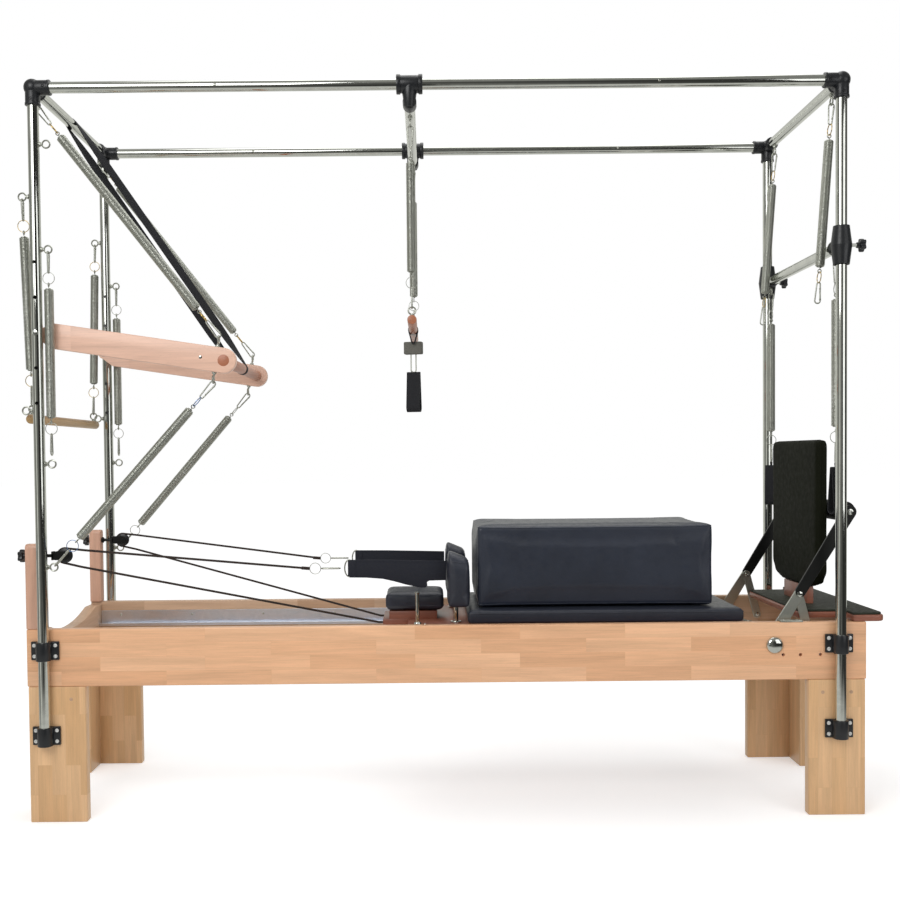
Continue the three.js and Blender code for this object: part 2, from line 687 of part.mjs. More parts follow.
// The top of the frame: long tubes seated in the corner fittings, which the short end tubes carry
function topFrame() {
  const seat = postX - corner.tubeStop;
  for (const [side, s] of Object.entries(sides)) {
    const at = (x) => v(x, s * postY, frame.topZ);
    const inside = rod(at(-seat - overrun), at(seat + overrun), boreRadius, boreSides);
    const outside = rod(at(-seat), at(seat), tube.radius, roundSides);
    place(`top_tube_${side}`, cut(outside, inside), chrome);
  }
  for (const [end, e] of Object.entries(ends)) {
    const x = e * postX;
    const pieces = [rod(v(x, -postY, frame.topZ), v(x, postY, frame.topZ), tube.radius, roundSides)];
    const bores = [rod(v(x, -postY, frame.topZ), v(x, postY, frame.topZ), boreRadius, boreSides)];
    for (const s of Object.values(sides)) {
      const centre = v(x, s * postY, frame.topZ);
      const ball = new THREE.SphereGeometry(corner.ballRadius, corner.ballSteps, corner.ballRings);
      pieces.push(solidOf(ball.rotateX(quarterTurn).translate(centre.x, centre.y, centre.z)));
      for (const way of [down, v(-e, 0, 0), v(0, -s, 0)]) {
        const mouth = centre.clone().addScaledVector(way, corner.sleeveLength);
        pieces.push(rod(centre, mouth, corner.sleeveRadius));
        if (way.y) continue;
        const stop = centre.clone().addScaledVector(way, corner.tubeStop - gap);
        bores.push(rod(stop, mouth.clone().addScaledVector(way, overrun), socketRadius, roundSides));
      }
    }
    bores.push(rod(v(x, 0, frame.topZ), v(x, 0, frame.topZ - tube.radius - overrun), ventRadius, boltSides));
    const eyeY = e < 0 ? pushEyes.topY : topRightEyeY;
    const eyes = Object.values(sides).map((s) =>
      eyeBolt(v(x, s * eyeY, frame.topZ), down, tube.radius + eye.reach, 'x'));
    place(`top_end_${end}`, cut(join(pieces, eyes), bores), black);
  }
}

// A five-lobed hand knob on its bolt, its outer face at the given point, pointing along X
function starKnob(face, way) {
  const shape = new THREE.Shape();
  const steps = knob.lobes * stepsPerLobe;
  const points = [];
  for (let i = 0; i < steps; i += 1) {
    const angle = (i / steps) * fullTurn;
    const radius = knob.radius - (knob.lobeDepth * (1 - Math.cos(knob.lobes * angle))) / 2;
    points.push(new THREE.Vector2(face.y + radius * Math.cos(angle), face.z + radius * Math.sin(angle)));
  }
  shape.setFromPoints(points);
  const inner = face.x - way * knob.thick;
  const hub = rod(v(inner, face.y, face.z), v(inner - way * knob.hubLength, face.y, face.z), knob.hubRadius);
  return join(fromEnd(shape, Math.min(face.x, inner), Math.max(face.x, inner)), hub);
}

// The slider on the two long top tubes, which carries the trapeze
function makeTrapezeSlider() {
  const { x, collarRadius, rimRadius, rimLength, length, dropZ, neckRadius } = trapezeSlider;
  const crossZ = frame.topZ - dropZ;
  const pieces = [rod(v(x, -postY, crossZ), v(x, postY, crossZ), tube.radius, roundSides)];
  const bores = [];
  for (const s of Object.values(sides)) {
    const at = (dx) => v(x + dx, s * postY, frame.topZ);
    pieces.push(rod(at(-length / 2), at(length / 2), collarRadius));
    for (const k of Object.values(ends)) {
      pieces.push(rod(at((k * length) / 2), at(k * (length / 2 - rimLength)), rimRadius));
    }
    pieces.push(rod(at(0), v(x, s * postY, crossZ - tube.radius), collarRadius, smallSides, neckRadius));
    bores.push(rod(at(-length), at(length), socketRadius, roundSides));
  }
  const hollowY = postY - collarRadius;
  bores.push(rod(v(x, -hollowY, crossZ), v(x, hollowY, crossZ), boreRadius, boreSides));
  bores.push(rod(v(x, 0, crossZ), v(x, 0, crossZ - tube.radius - overrun), ventRadius, boltSides));
  const eyes = Object.values(sides).map((s) =>
    eyeBolt(v(x, s * trapeze.eyeY, crossZ), down, tube.radius + eye.reach, 'x'));
  place('trapeze_slider', cut(join(pieces, eyes), bores), black);
}

// The slider on the two right posts, with a star knob at each side
function makeHeightSlider() {
  const { z, collarRadius, length, bossRadius, bossLength, knobReach } = heightSlider;
  const pieces = [rod(v(postX, -postY, z), v(postX, postY, z), tube.radius, roundSides)];
  const bores = [];
  for (const s of Object.values(sides)) {
    const at = (dz) => v(postX, s * postY, z + dz);
    pieces.push(rod(at(-length / 2), at(length / 2), collarRadius));
    pieces.push(rod(at(0), at(-length / 2), bossRadius, smallSides, collarRadius));
    pieces.push(rod(at(0), at(length / 2), bossRadius, smallSides, collarRadius));
    pieces.push(rod(at(0), v(postX, s * (postY - bossLength), z), collarRadius));
    const boltEnd = v(postX + bossRadius + knobReach, s * postY, z);
    pieces.push(rod(v(postX + tube.radius, s * postY, z), boltEnd, knob.boltRadius));
    const knobFace = boltEnd.clone().add(v(knob.hubLength + knob.thick, 0, 0));
    pieces.push(starKnob(knobFace, 1));
    bores.push(rod(at(-length), at(length), socketRadius, roundSides));
  }
  const hollowY = postY - bossLength;
  const hollow = [
    rod(v(postX, -hollowY, z), v(postX, hollowY, z), boreRadius, boreSides),
    rod(v(postX, 0, z), v(postX, 0, z - tube.radius - overrun), ventRadius, boltSides),
  ];
  const eyes = Object.values(sides).map((s) =>
    eyeBolt(v(postX, s * lowRightEyeY, z), down, tube.radius + eye.reach, 'x'));
  place('height_slider', cut(join(pieces, eyes), bores, hollow), black);
}

// Rope pulleys: a star knob and bolt through the riser, a fork, and the sheave on the fork's pin
function pulleys() {
  for (const [side, s] of Object.entries(sides)) {
    const y = s * (halfBed - riser.depth / 2);
    const z = riserBoltZ;
    const cheekInner = pulley.width / 2 + gap;
    const cheekOuter = cheekInner + pulley.cheekThick;
    const knobBack = bedLeftX - gap;
    const nutX = bedLeftX + endBoard.thick + gap;
    const cheekEnd = pulley.x + fork.nose;
    const cheek = roundedRect(
      fork.backX, cheekEnd, z - fork.halfHeight, z + fork.halfHeight, fork.round,
    );
    const cheeks = [-cheekOuter, cheekInner].map((low) =>
      fromFront(cheek, y + low, y + low + pulley.cheekThick));
    const pinEnds = [-cheekOuter, cheekOuter].map((dy) => v(pulley.x, y + dy, z));
    const solid = join(
      rod(v(knobBack - knob.hubLength, y, z), v(fork.backX, y, z), knob.boltRadius),
      starKnob(v(knobBack - knob.hubLength - knob.thick, y, z), -1),
      rod(v(nutX, y, z), v(nutX + fork.nutThick, y, z), fork.nutRadius, hexSides),
      block(
        v(fork.backX - overrun, y - cheekOuter, z - fork.halfHeight),
        v(fork.backX + fork.backThick, y + cheekOuter, z + fork.halfHeight),
      ),
      cheeks,
      rod(...pinEnds, pulley.pinRadius),
    );
    place(`pulley_block_${side}`, solid, black);

    const { radius, grooveRadius, width, grooveHalf, pinRadius } = pulley;
    const bore = pinRadius + gap;
    const sheave = solidOf(revolve([
      [bore, -width / 2], [radius, -width / 2], [radius, -grooveHalf],
      [grooveRadius, -grooveHalf], [grooveRadius, grooveHalf],
      [radius, grooveHalf], [radius, width / 2], [bore, width / 2], [bore, -width / 2],
    ], roundSides)).rotate([90, 0, 0]).translate([pulley.x, y, z]);
    place(`pulley_sheave_${side}`, sheave, steel);
  }
}

// The push-through bar: two wooden arms on pivot bolts and a dowel across their far ends
function makePushBar() {
  const { pivotZ, tipX, tipDrop, height, thick, armY, dowelRadius, noseRadius, flare } = pushBar;
  const pivot = v(-postX, 0, pivotZ);
  const reach = Math.hypot(tipX - pivot.x, tipDrop);
  const droop = Math.atan2(tipDrop, tipX - pivot.x);
  const half = height / 2;
  const outline = new THREE.Shape();
  outline.absarc(0, 0, noseRadius, quarterTurn, quarterTurn + Math.PI);
  outline.lineTo(flare, -half);
  outline.absarc(reach, 0, half, -quarterTurn, quarterTurn);
  outline.lineTo(flare, half);
  const arms = Object.values(sides).map((s) => {
    const low = s * armY - thick / 2;
    return fromFront(outline, low, low + thick);
  });
  const bolts = Object.values(sides).flatMap((s) => {
    const outside = postY + tube.radius + gap;
    return [
      rod(v(0, s * armY, 0), v(0, s * outside, 0), pushBar.boltRadius),
      rod(v(0, s * outside, 0), v(0, s * (outside + pushBar.headThick), 0), pushBar.headRadius, hexSides),
    ];
  });
  const dowel = rod(v(reach, -armY, 0), v(reach, armY, 0), dowelRadius, roundSides);
  const upright = join(arms, bolts, dowel).rotate([0, (droop * 180) / Math.PI, 0]);
  const solid = upright.translate([pivot.x, 0, pivot.z]);

  // Eyes above and under each arm near its tip, standing straight up and down
  const direction = v(Math.cos(droop), 0, -Math.sin(droop));
  const onArm = pivot.clone().addScaledVector(direction, reach - pushEyes.backFromTip);
  const up = v(Math.sin(droop), 0, Math.cos(droop));
  const tips = Object.values(sides).flatMap((s) => {
    const centre = onArm.clone().setY(s * armY);
    const upperFrom = centre.clone().addScaledVector(up, half / 2);
    const lowerFrom = centre.clone().addScaledVector(up, -half / 2);
    return [
      eyeBolt(upperFrom, up, half / 2 + pushEyes.reach, 'x'),
      eyeBolt(lowerFrom, up.clone().negate(), half / 2 + pushEyes.reach, 'x'),
    ];
  });
  place('push_through_bar', join(solid, tips), barWood);

  const eyeFar = half + pushEyes.reach;
  for (const [side, s] of Object.entries(sides)) {
    const middle = onArm.clone().setY(s * armY);
    const armTop = middle.clone().addScaledVector(up, eyeFar).addScaledVector(along.z, eye.radius);
    const armUnder = under(middle.clone().addScaledVector(up, -eyeFar));
    const topEye = v(-postX, s * pushEyes.topY, frame.topZ - tube.radius - eye.reach);
    place(`spring_push_upper_${side}`, springSolid(under(topEye), armTop, 'y', 'y'), steel);
    const lowEye = v(-postX + tube.radius + eye.reach, s * postY, pushEyes.lowerZ);
    const pull = armUnder.clone().sub(lowEye).normalize();
    const lowHang = lowEye.clone().addScaledVector(pull, eye.radius * Math.cos(Math.PI / eyeSteps));
    place(`spring_push_lower_${side}`, springSolid(armUnder, lowHang, 'y', 'x'), steel);
  }

  const wrapTop = clearing(tube.radius, beltSteps);
  const wrapLow = clearing(dowelRadius, beltSteps);
  const topAt = [-postX, frame.topZ];
  const lowAt = [tipX, pushTipZ];
  const band = beltShape(topAt, lowAt, wrapTop + safetyStrap.thick, wrapLow + safetyStrap.thick);
  const space = beltShape(topAt, lowAt, wrapTop, wrapLow);
  const halfWide = safetyStrap.width / 2;
  const strapSpace = fromFront(space, -halfWide - overrun, halfWide + overrun);
  place('safety_strap', cut(fromFront(band, -halfWide, halfWide), strapSpace), webbing);
}

// A wooden bar along Y with an eye standing on it at each side
function hangingBar(x, { z, radius, half, eyeY }) {
  const bar = rod(v(x, -half, z), v(x, half, z), radius, roundSides);
  const eyes = Object.values(sides).map((s) =>
    eyeBolt(v(x, s * eyeY, z), along.z, radius + eye.radius + eye.tip, 'y'));
  return join(bar, eyes);
}

// The roll-down bar and the free springs on the left posts, and the trapeze
function hangingSets() {
  const outerX = -postX - tube.radius - eye.reach;
  const innerX = -postX + tube.radius + eye.reach;
  place('roll_down_bar', hangingBar(outerX, rollDown), barWood);
  const crossEyeZ = frame.topZ - trapezeSlider.dropZ - tube.radius - eye.reach;
  const { x } = trapezeSlider;
  place('trapeze_bar', hangingBar(x, trapeze), barWood);
  for (const [side, s] of Object.entries(sides)) {
    const barEyeTop = (radius) => radius + 2 * eye.radius + eye.tip;
    const rollTop = v(outerX, s * postY, rollDown.topZ - eye.radius);
    const rollLow = v(outerX, s * rollDown.eyeY, rollDown.z + barEyeTop(rollDown.radius));
    place(`spring_roll_down_${side}`, springSolid(rollTop, rollLow, 'x', 'x'), steel);
    const freeTop = v(innerX, s * postY, freeSpringZ - eye.radius);
    const freeLow = freeTop.clone().addScaledVector(down, shortBody + 2 * endReach);
    place(`spring_free_${side}`, springSolid(freeTop, freeLow, 'x', 'x'), steel);
    const trapezeTop = v(x, s * trapeze.eyeY, crossEyeZ - eye.radius);
    const trapezeLow = v(x, s * trapeze.eyeY, trapeze.z + barEyeTop(trapeze.radius));
    place(`spring_trapeze_${side}`, springSolid(trapezeTop, trapezeLow, 'y', 'x'), steel);
  }

  // Sling: a loop round the bar, a hook, and a padded cuff below
  const loopRadius = clearing(trapeze.radius, beltSteps);
  const loopLowZ = trapeze.z - loopRadius - sling.neckDrop;
  const pinch = sling.loopThick;
  const [loopTop, loopLow] = [[x, trapeze.z], [x, loopLowZ]];
  const outerLoop = beltShape(loopTop, loopLow, loopRadius + sling.loopThick, pinch + sling.loopThick);
  const innerLoop = beltShape(loopTop, loopLow, loopRadius, pinch);
  const half = sling.width / 2;
  const loop = cut(fromFront(outerLoop, -half, half), fromFront(innerLoop, -half - overrun, half + overrun));
  const padTop = loopLowZ - pinch;
  const padLow = padTop - sling.padHeight;
  const padBlock = block(v(x - sling.cuffBulge, -half, padLow), v(x + sling.cuffBulge, half, padTop));
  const linkMiddle = v(x, 0, padLow - hook.length / 2 + hook.wire);
  const link = ring(linkMiddle, 'y', hook.halfWidth, hook.wire, hook.steps, hook.length - 2 * hook.halfWidth);
  const cuffTopZ = padLow - hook.length + 2 * hook.wire;
  const cuffTop = [x, cuffTopZ - sling.cuffThick];
  const cuffLow = [x, cuffTopZ - sling.cuffHeight + sling.cuffBulge + sling.cuffThick];
  const cuffOuter = beltShape(
    cuffTop, cuffLow, sling.cuffThick + sling.cuffPinch, sling.cuffBulge + sling.cuffThick,
  );
  const cuffInner = beltShape(cuffTop, cuffLow, sling.cuffPinch, sling.cuffBulge);
  const cuff = cut(fromFront(cuffOuter, -half, half), fromFront(cuffInner, -half - overrun, half + overrun));
  place('sling', join(loop, padBlock, link, cuff), webbing);
}

// Springs at the right end: two lean past the height slider's tube, two hang from it with foot straps
function rightSprings() {
  const topEyeZ = frame.topZ - tube.radius - eye.reach - eye.radius;
  const drop = topEyeZ - heightSlider.z;
  const lean = Math.asin((tube.radius + spring.radius + 2 * gap) / drop);
  const length = shortBody + 2 * endReach;
  for (const [side, s] of Object.entries(sides)) {
    const top = v(postX, s * topRightEyeY, topEyeZ);
    const low = top.clone().add(v(-length * Math.sin(lean), 0, -length * Math.cos(lean)));
    place(`spring_top_right_${side}`, springSolid(top, low, 'y', 'y'), steel);

    const hang = v(postX, s * lowRightEyeY, heightSlider.z - tube.radius - eye.reach - eye.radius);
    const foot = hang.clone().addScaledVector(down, length);
    place(`spring_low_right_${side}`, springSolid(hang, foot, 'y', 'x'), steel);

    // A narrow loop hangs in the snap hook and carries the wide strap
    const { width, height, bulge, thick } = footStrap;
    const wireZ = foot.z - hookTop;
    const loopHalf = hook.wire;
    const wireRise = loopHalf * Math.tan(Math.PI / hook.steps);
    const loopInner = hook.wire + gap + wireRise;
    const strapTopZ = wireZ - loopInner - thick;
    const y = s * lowRightEyeY;
    const belt = (topZ, lowZ, topInner, lowInner, half) => {
      const [top, low] = [[postX, topZ], [postX, lowZ]];
      return cut(
        fromFront(beltShape(top, low, topInner + thick, lowInner + thick), y - half, y + half),
        fromFront(beltShape(top, low, topInner, lowInner), y - half - overrun, y + half + overrun),
      );
    };
    const loop = belt(wireZ, strapTopZ - thick, loopInner, hook.wire, loopHalf);
    const wide = belt(strapTopZ - thick, strapTopZ - height + bulge + thick, hook.wire, bulge, width / 2);
    place(`foot_strap_${side}`, join(loop, wide), webbing);
  }
}

// The carriage, its pads and the pieces that ride on it
function carriageSet() {
  const { leftX, rightX, halfWidth, boardZ, wheelRadius, wheelWidth, wheelInset, axleRadius } = carriage;
  const board = [
    block(v(leftX, -halfWidth, boardZ), v(rightX, halfWidth, carriageTopZ)),
    block(
      v(carriage.tongueX, -carriage.tongueHalf, boardZ),
      v(leftX + overrun, carriage.tongueHalf, carriageTopZ),
    ),
    block(
      v(carriage.tongueX + carriage.hangerThick, -carriage.tongueHalf, carriageTopZ - overrun),
      v(carriage.restBlockX, carriage.tongueHalf, headrest.bottomZ - gap),
    ),
  ];
  const wheelY = railInnerY - gap - track.flangeThick - gap - wheelWidth;
  for (const s of Object.values(sides)) {
    for (const x of [leftX + wheelInset, rightX - wheelInset]) {
      const inner = s * wheelY;
      const hangerY = s * (halfWidth - carriage.hangerThick);
      board.push(rod(v(x, hangerY, wheelZ), v(x, inner + s * overrun, wheelZ), axleRadius));
      board.push(rod(v(x, inner, wheelZ), v(x, inner + s * wheelWidth, wheelZ), wheelRadius, roundSides));
      const hangerEnd = hangerY + s * carriage.hangerThick;
      board.push(block(
        v(x - wheelRadius, Math.min(hangerY, hangerEnd), wheelZ - carriage.hangerDrop),
        v(x + wheelRadius, Math.max(hangerY, hangerEnd), boardZ + overrun),
      ));
    }
    const foot = v(peg.x, s * peg.y, carriageTopZ);
    board.push(rod(foot, foot.clone().addScaledVector(along.z, peg.footThick), peg.footRadius));
    board.push(rod(foot, foot.clone().addScaledVector(along.z, peg.height), peg.radius));
  }
  place('carriage_frame', join(board), wood);

  place('carriage_pad', cushion(
    v(pad.leftX, -pad.halfWidth, carriageTopZ + gap), v(pad.rightX, pad.halfWidth, padTopZ), pad,
  ), leather);
  place('headrest', cushion(
    v(headrest.leftX, -headrest.halfWidth, headrest.bottomZ),
    v(headrest.rightX, headrest.halfWidth, headrest.bottomZ + headrest.thick),
    headrest,
  ), leather);
  place('sitting_box', cushion(
    v(sittingBox.leftX, -sittingBox.halfWidth, padTopZ + gap),
    v(sittingBox.rightX, sittingBox.halfWidth, padTopZ + gap + sittingBox.height),
    sittingBox,
  ), leather);

  for (const [side, s] of Object.entries(sides)) {
    const y = s * shoulder.y;
    const rest = cushion(
      v(shoulder.leftX, y - shoulder.halfWidth, shoulder.bottomZ),
      v(shoulder.rightX, y + shoulder.halfWidth, shoulder.topZ),
      shoulder,
    );
    const stemAt = (z) => v(shoulder.stemX, y, z);
    const stem = rod(stemAt(carriageTopZ + gap), stemAt(shoulder.bottomZ + overrun), shoulder.stemRadius);
    place(`shoulder_rest_${side}`, join(rest, stem), leather);
  }

  // Carriage springs: four, fixed to one plate under the board, with a loop each round the spring bar
  const plateTop = boardZ - gap;
  const { thick, depth, halfWidth: plateHalf } = springPlate;
  const plateRight = springPlate.x + thick / 2;
  const plateLeft = springPlate.x - thick / 2;
  const parts = [block(v(plateLeft, -plateHalf, plateTop - depth), v(plateRight, plateHalf, plateTop))];
  const { radius, neckRadius, taper, wire, spacing, count, steps, loopSlack } = underSpring;
  const loopRadius = springBar.radius + 2 * gap + loopSlack;
  const loopLeft = springBar.x - loopRadius;
  const length = loopLeft - plateRight;
  const bodyEnd = length - taper;
  const turned = revolve([
    [0, -overrun], [neckRadius, 0], [radius, taper], [radius, bodyEnd - taper], [neckRadius, bodyEnd],
    [neckRadius, length], [0, length],
  ], steps).rotateY(quarterTurn);
  for (let i = 0; i < count; i += 1) {
    const y = (i - (count - 1) / 2) * spacing;
    parts.push(solidOf(turned.clone().translate(plateRight, y, springBar.z)));
    parts.push(ring(v(springBar.x, y, springBar.z), 'y', loopRadius, wire, smallSides));
  }
  place('carriage_springs', join(parts), steel);
}

// Jump board and footbar
function footEnd() {
  const { x, thick, halfWidth, bottomZ, topZ, round, tabHalf, tabThick, tabDepth } = jumpBoard;
  const outline = roundedRect(-halfWidth, halfWidth, bottomZ, topZ, round);
  const panel = fromEnd(outline, x - thick / 2, x + thick / 2);
  const tab = block(
    v(x - tabThick / 2, -tabHalf, platformTopZ - tabDepth), v(x + tabThick / 2, tabHalf, bottomZ + overrun),
  );
  place('jump_board', join(panel, tab), black);

  const f = footbar;
  const pivot = v(f.pivotX, 0, f.pivotZ);
  const bar = v(f.barX, 0, f.barZ);
  const lengthwise = bar.clone().sub(pivot).normalize();
  const strutTop = pivot.clone().addScaledVector(lengthwise, f.strutAt);
  const half = f.armWidth / 2;
  const arm = beltShape([pivot.x, pivot.z], [bar.x, bar.z], half, half);
  const strutEnds = [[strutTop.x, strutTop.z], [f.strutFootX, f.strutFootZ]];
  const strut = beltShape(...strutEnds, f.strutWidth / 2, f.strutWidth / 2);
  const armOuter = f.armY + f.armThick / 2;
  const armInner = f.armY - f.armThick / 2;
  const pieces = [
    rod(v(bar.x, -armOuter, bar.z), v(bar.x, armOuter, bar.z), f.coreRadius),
    rod(v(bar.x, -f.padHalf, bar.z), v(bar.x, f.padHalf, bar.z), f.padRadius, roundSides),
  ];
  for (const s of Object.values(sides)) {
    const spans = [
      [arm, s * armInner, s * armOuter],
      [strut, s * (armInner - f.strutThick), s * (armInner + gap)],
    ];
    for (const [shape, a, b] of spans) pieces.push(fromFront(shape, Math.min(a, b), Math.max(a, b)));
    const at = (y) => v(pivot.x, s * y, pivot.z);
    const domeFoot = halfBed + gap;
    pieces.push(rod(at(f.armY), at(railInnerY - gap), f.collarRadius));
    pieces.push(rod(at(f.armY), at(domeFoot + f.domeHeight / 2), f.pinRadius));
    const dome = revolve([
      [0, 0],
      [f.domeRadius, 0],
      [f.domeRadius * f.domeWideShare, f.domeHeight * f.domeHalfShare],
      [f.domeRadius * f.domeHalfShare, f.domeHeight * f.domeWideShare],
      [0, f.domeHeight],
    ], roundSides).rotateX(-s * quarterTurn).translate(pivot.x, s * domeFoot, pivot.z);
    pieces.push(solidOf(dome));
  }
  place('footbar', join(pieces), chrome);
}

// Ropes from the carriage, round the pulleys and back to the shoulder straps
function ropes() {
  for (const [side, s] of Object.entries(sides)) {
    const y = s * (halfBed - riser.depth / 2);
    const wrap = pulley.grooveRadius + gap + rope.radius;
    const strapY = s * shoulder.y;
    const ringLeft = v(rope.ringX - splitRing.radius, strapY, rope.z);
    const anchor = v(carriage.tongueX - gap, s * ropeAnchor.y, carriage.boardZ + carriage.boardThick / 2);
    const slopeUp = Math.atan2(riserBoltZ + wrap - ringLeft.z, ringLeft.x - pulley.x);
    const slopeDown = Math.atan2(riserBoltZ - wrap - anchor.z, anchor.x - pulley.x);
    const onSheave = (angle) => v(pulley.x + wrap * Math.cos(angle), y, riserBoltZ + wrap * Math.sin(angle));
    const upperAngle = quarterTurn - slopeUp;
    const lowerAngle = Math.PI + quarterTurn - slopeDown;
    const upper = onSheave(upperAngle);
    const lower = onSheave(lowerAngle);
    const points = [ringLeft];
    const { straightRun, strandShares } = rope;
    const offSheave = (slope) => v(straightRun * Math.cos(slope), 0, -straightRun * Math.sin(slope));
    const upperExit = upper.clone().add(offSheave(slopeUp));
    const lowerExit = lower.clone().add(offSheave(slopeDown));
    for (const share of strandShares) points.push(ringLeft.clone().lerp(upperExit, share));
    points.push(upperExit);
    const arcSpan = lowerAngle - upperAngle;
    const arcCount = rope.arcSteps;
    for (let i = 0; i <= arcCount; i += 1) points.push(onSheave(upperAngle + (arcSpan * i) / arcCount));
    points.push(lowerExit);
    for (const share of strandShares) {
      points.push(lowerExit.clone().lerp(anchor, 1 - strandShares[2] + share / 2));
    }
    points.push(anchor.clone().add(v(-ropeAnchor.straight, 0, 0)), anchor);
    const line = sweep(new Route(points), rope.radius, points.length - 1, rope.sides);

    const strapRight = shoulder.leftX - gap;
    const halfThick = rope.strapThick / 2;
    const strap = block(
      v(rope.strapX, strapY - halfThick, rope.z - rope.strapHeight / 2),
      v(strapRight, strapY + halfThick, rope.z + rope.strapHeight / 2),
    );
    const ringAt = v(rope.ringX, strapY, rope.z);
    const hookFrom = v(rope.ringX + splitRing.radius, strapY, rope.z);
    const hookRod = rod(hookFrom, v(rope.strapX + overrun, strapY, rope.z), hook.swivelRadius, boltSides);
    const dRing = ring(v(rope.strapX, strapY, rope.z), 'y', rope.strapHeight / 2, hook.wire, smallSides);
    place(
      `rope_${side}`,
      join(line, ring(ringAt, 'y', splitRing.radius, splitRing.wire, splitRing.steps), hookRod, dRing, strap),
      webbing,
    );
  }
}

bedFrame();
posts();
topFrame();
makeTrapezeSlider();
makeHeightSlider();
pulleys();
makePushBar();
hangingSets();
rightSprings();
carriageSet();
footEnd();
ropes();
console.log(`least gap between the turns of a spring end: ${leastCurlGap().toFixed(2)} mm`);

// Centre the table on its own footprint
const bounds = new THREE.Box3().setFromObject(table);
const centre = bounds.getCenter(v(0, 0, 0));
table.position.set(-centre.x, -centre.y, 0);
table.updateMatrixWorld(true);

export default table;
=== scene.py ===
import math

import bmesh
import bpy
from mathutils import Matrix, Vector
from mathutils.bvhtree import BVHTree


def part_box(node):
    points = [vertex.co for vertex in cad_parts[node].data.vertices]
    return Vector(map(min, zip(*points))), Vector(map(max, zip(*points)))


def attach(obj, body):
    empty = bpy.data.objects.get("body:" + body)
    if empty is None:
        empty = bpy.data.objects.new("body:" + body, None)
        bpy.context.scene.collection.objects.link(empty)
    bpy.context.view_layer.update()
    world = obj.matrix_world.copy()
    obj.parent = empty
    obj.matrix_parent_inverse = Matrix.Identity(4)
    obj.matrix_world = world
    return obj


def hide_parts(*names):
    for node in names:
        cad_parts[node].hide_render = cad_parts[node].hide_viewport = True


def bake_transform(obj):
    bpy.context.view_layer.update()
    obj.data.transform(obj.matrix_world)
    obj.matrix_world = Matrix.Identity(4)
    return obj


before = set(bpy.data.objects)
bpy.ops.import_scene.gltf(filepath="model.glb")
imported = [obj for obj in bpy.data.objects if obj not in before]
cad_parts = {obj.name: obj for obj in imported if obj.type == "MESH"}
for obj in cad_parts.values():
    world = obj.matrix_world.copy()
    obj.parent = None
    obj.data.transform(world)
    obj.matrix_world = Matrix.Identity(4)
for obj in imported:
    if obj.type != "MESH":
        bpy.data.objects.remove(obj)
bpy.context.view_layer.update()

scene = bpy.context.scene
sides = {"front": -1, "back": 1}
ends = {"left": -1, "right": 1}

# Shapes are made in the maker's millimetres, with X from midway between the posts, and then put in the frame
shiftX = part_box("side_rail_front")[0].x + 1.227
toFrame = Matrix.Translation((shiftX, 0, 0)) @ Matrix.Scale(0.001, 4)


def spot(x, y, z):
    return toFrame @ Vector((x, y, z))


# Camera
camera = {"place": (-36, -3480, 1075), "pitch": 1.6, "roll": -0.55, "lens": 43.0, "shift": (0.024, 0.04)}


def makeCamera():
    eyePiece = bpy.data.cameras.new("camera")
    eyePiece.lens = camera["lens"]
    eyePiece.sensor_width = 36
    eyePiece.shift_x, eyePiece.shift_y = camera["shift"]
    holder = bpy.data.objects.new("camera", eyePiece)
    scene.collection.objects.link(holder)
    tilt = Matrix.Rotation(math.radians(90 - camera["pitch"]), 4, "X")
    roll = Matrix.Rotation(math.radians(camera["roll"]), 4, "Z")
    holder.matrix_world = Matrix.Translation(spot(*camera["place"])) @ tilt @ roll
    scene.camera = holder


makeCamera()
print("camera in place")


# Shapes, each one a bmesh in millimetres
def bevelSharp(bm, width, segments=2, angle=30):
    sharp = [e for e in bm.edges if e.is_manifold and e.calc_face_angle(0) > math.radians(angle)]
    bmesh.ops.bevel(bm, geom=sharp, offset=width, offset_type="OFFSET", affect="EDGES", segments=segments,
                    profile=0.5, material=-1, clamp_overlap=True)
    return bm


def block(low, high, edge=2, segments=2):
    bm = bmesh.new()
    low, high = (Vector(f(pair) for pair in zip(low, high)) for f in (min, max))
    place = Matrix.Translation((low + high) / 2) @ Matrix.Diagonal((*(high - low), 1))
    bmesh.ops.create_cube(bm, size=1, matrix=place)
    return bevelSharp(bm, edge, segments) if edge else bm


def rod(start, end, radius, endRadius=None, edge=0, segments=32):
    bm = bmesh.new()
    start, end = Vector(start), Vector(end)
    way = end - start
    place = Matrix.Translation((start + end) / 2) @ way.to_track_quat("Z", "Y").to_matrix().to_4x4()
    bmesh.ops.create_cone(bm, cap_ends=True, segments=segments, radius1=radius,
                          radius2=radius if endRadius is None else endRadius, depth=way.length, matrix=place)
    return bevelSharp(bm, edge) if edge else bm


def ball(centre, radius, squeeze=(1, 1, 1)):
    bm = bmesh.new()
    place = Matrix.Translation(centre) @ Matrix.Diagonal((*squeeze, 1))
    bmesh.ops.create_uvsphere(bm, u_segments=28, v_segments=16, radius=radius, matrix=place)
    return bm


def lathe(foot, axis, profile, steps=40):
    bm = bmesh.new()
    foot, axis = Vector(foot), Vector(axis).normalized()
    side = axis.orthogonal().normalized()
    spots = [bm.verts.new(foot + axis * height + side * radius) for radius, height in profile]
    edges = [bm.edges.new(pair) for pair in zip(spots, spots[1:])]
    bmesh.ops.spin(bm, geom=[*spots, *edges], cent=foot, axis=axis, angle=2 * math.pi, steps=steps, use_merge=True)
    bmesh.ops.remove_doubles(bm, verts=bm.verts, dist=0.001)
    return bm


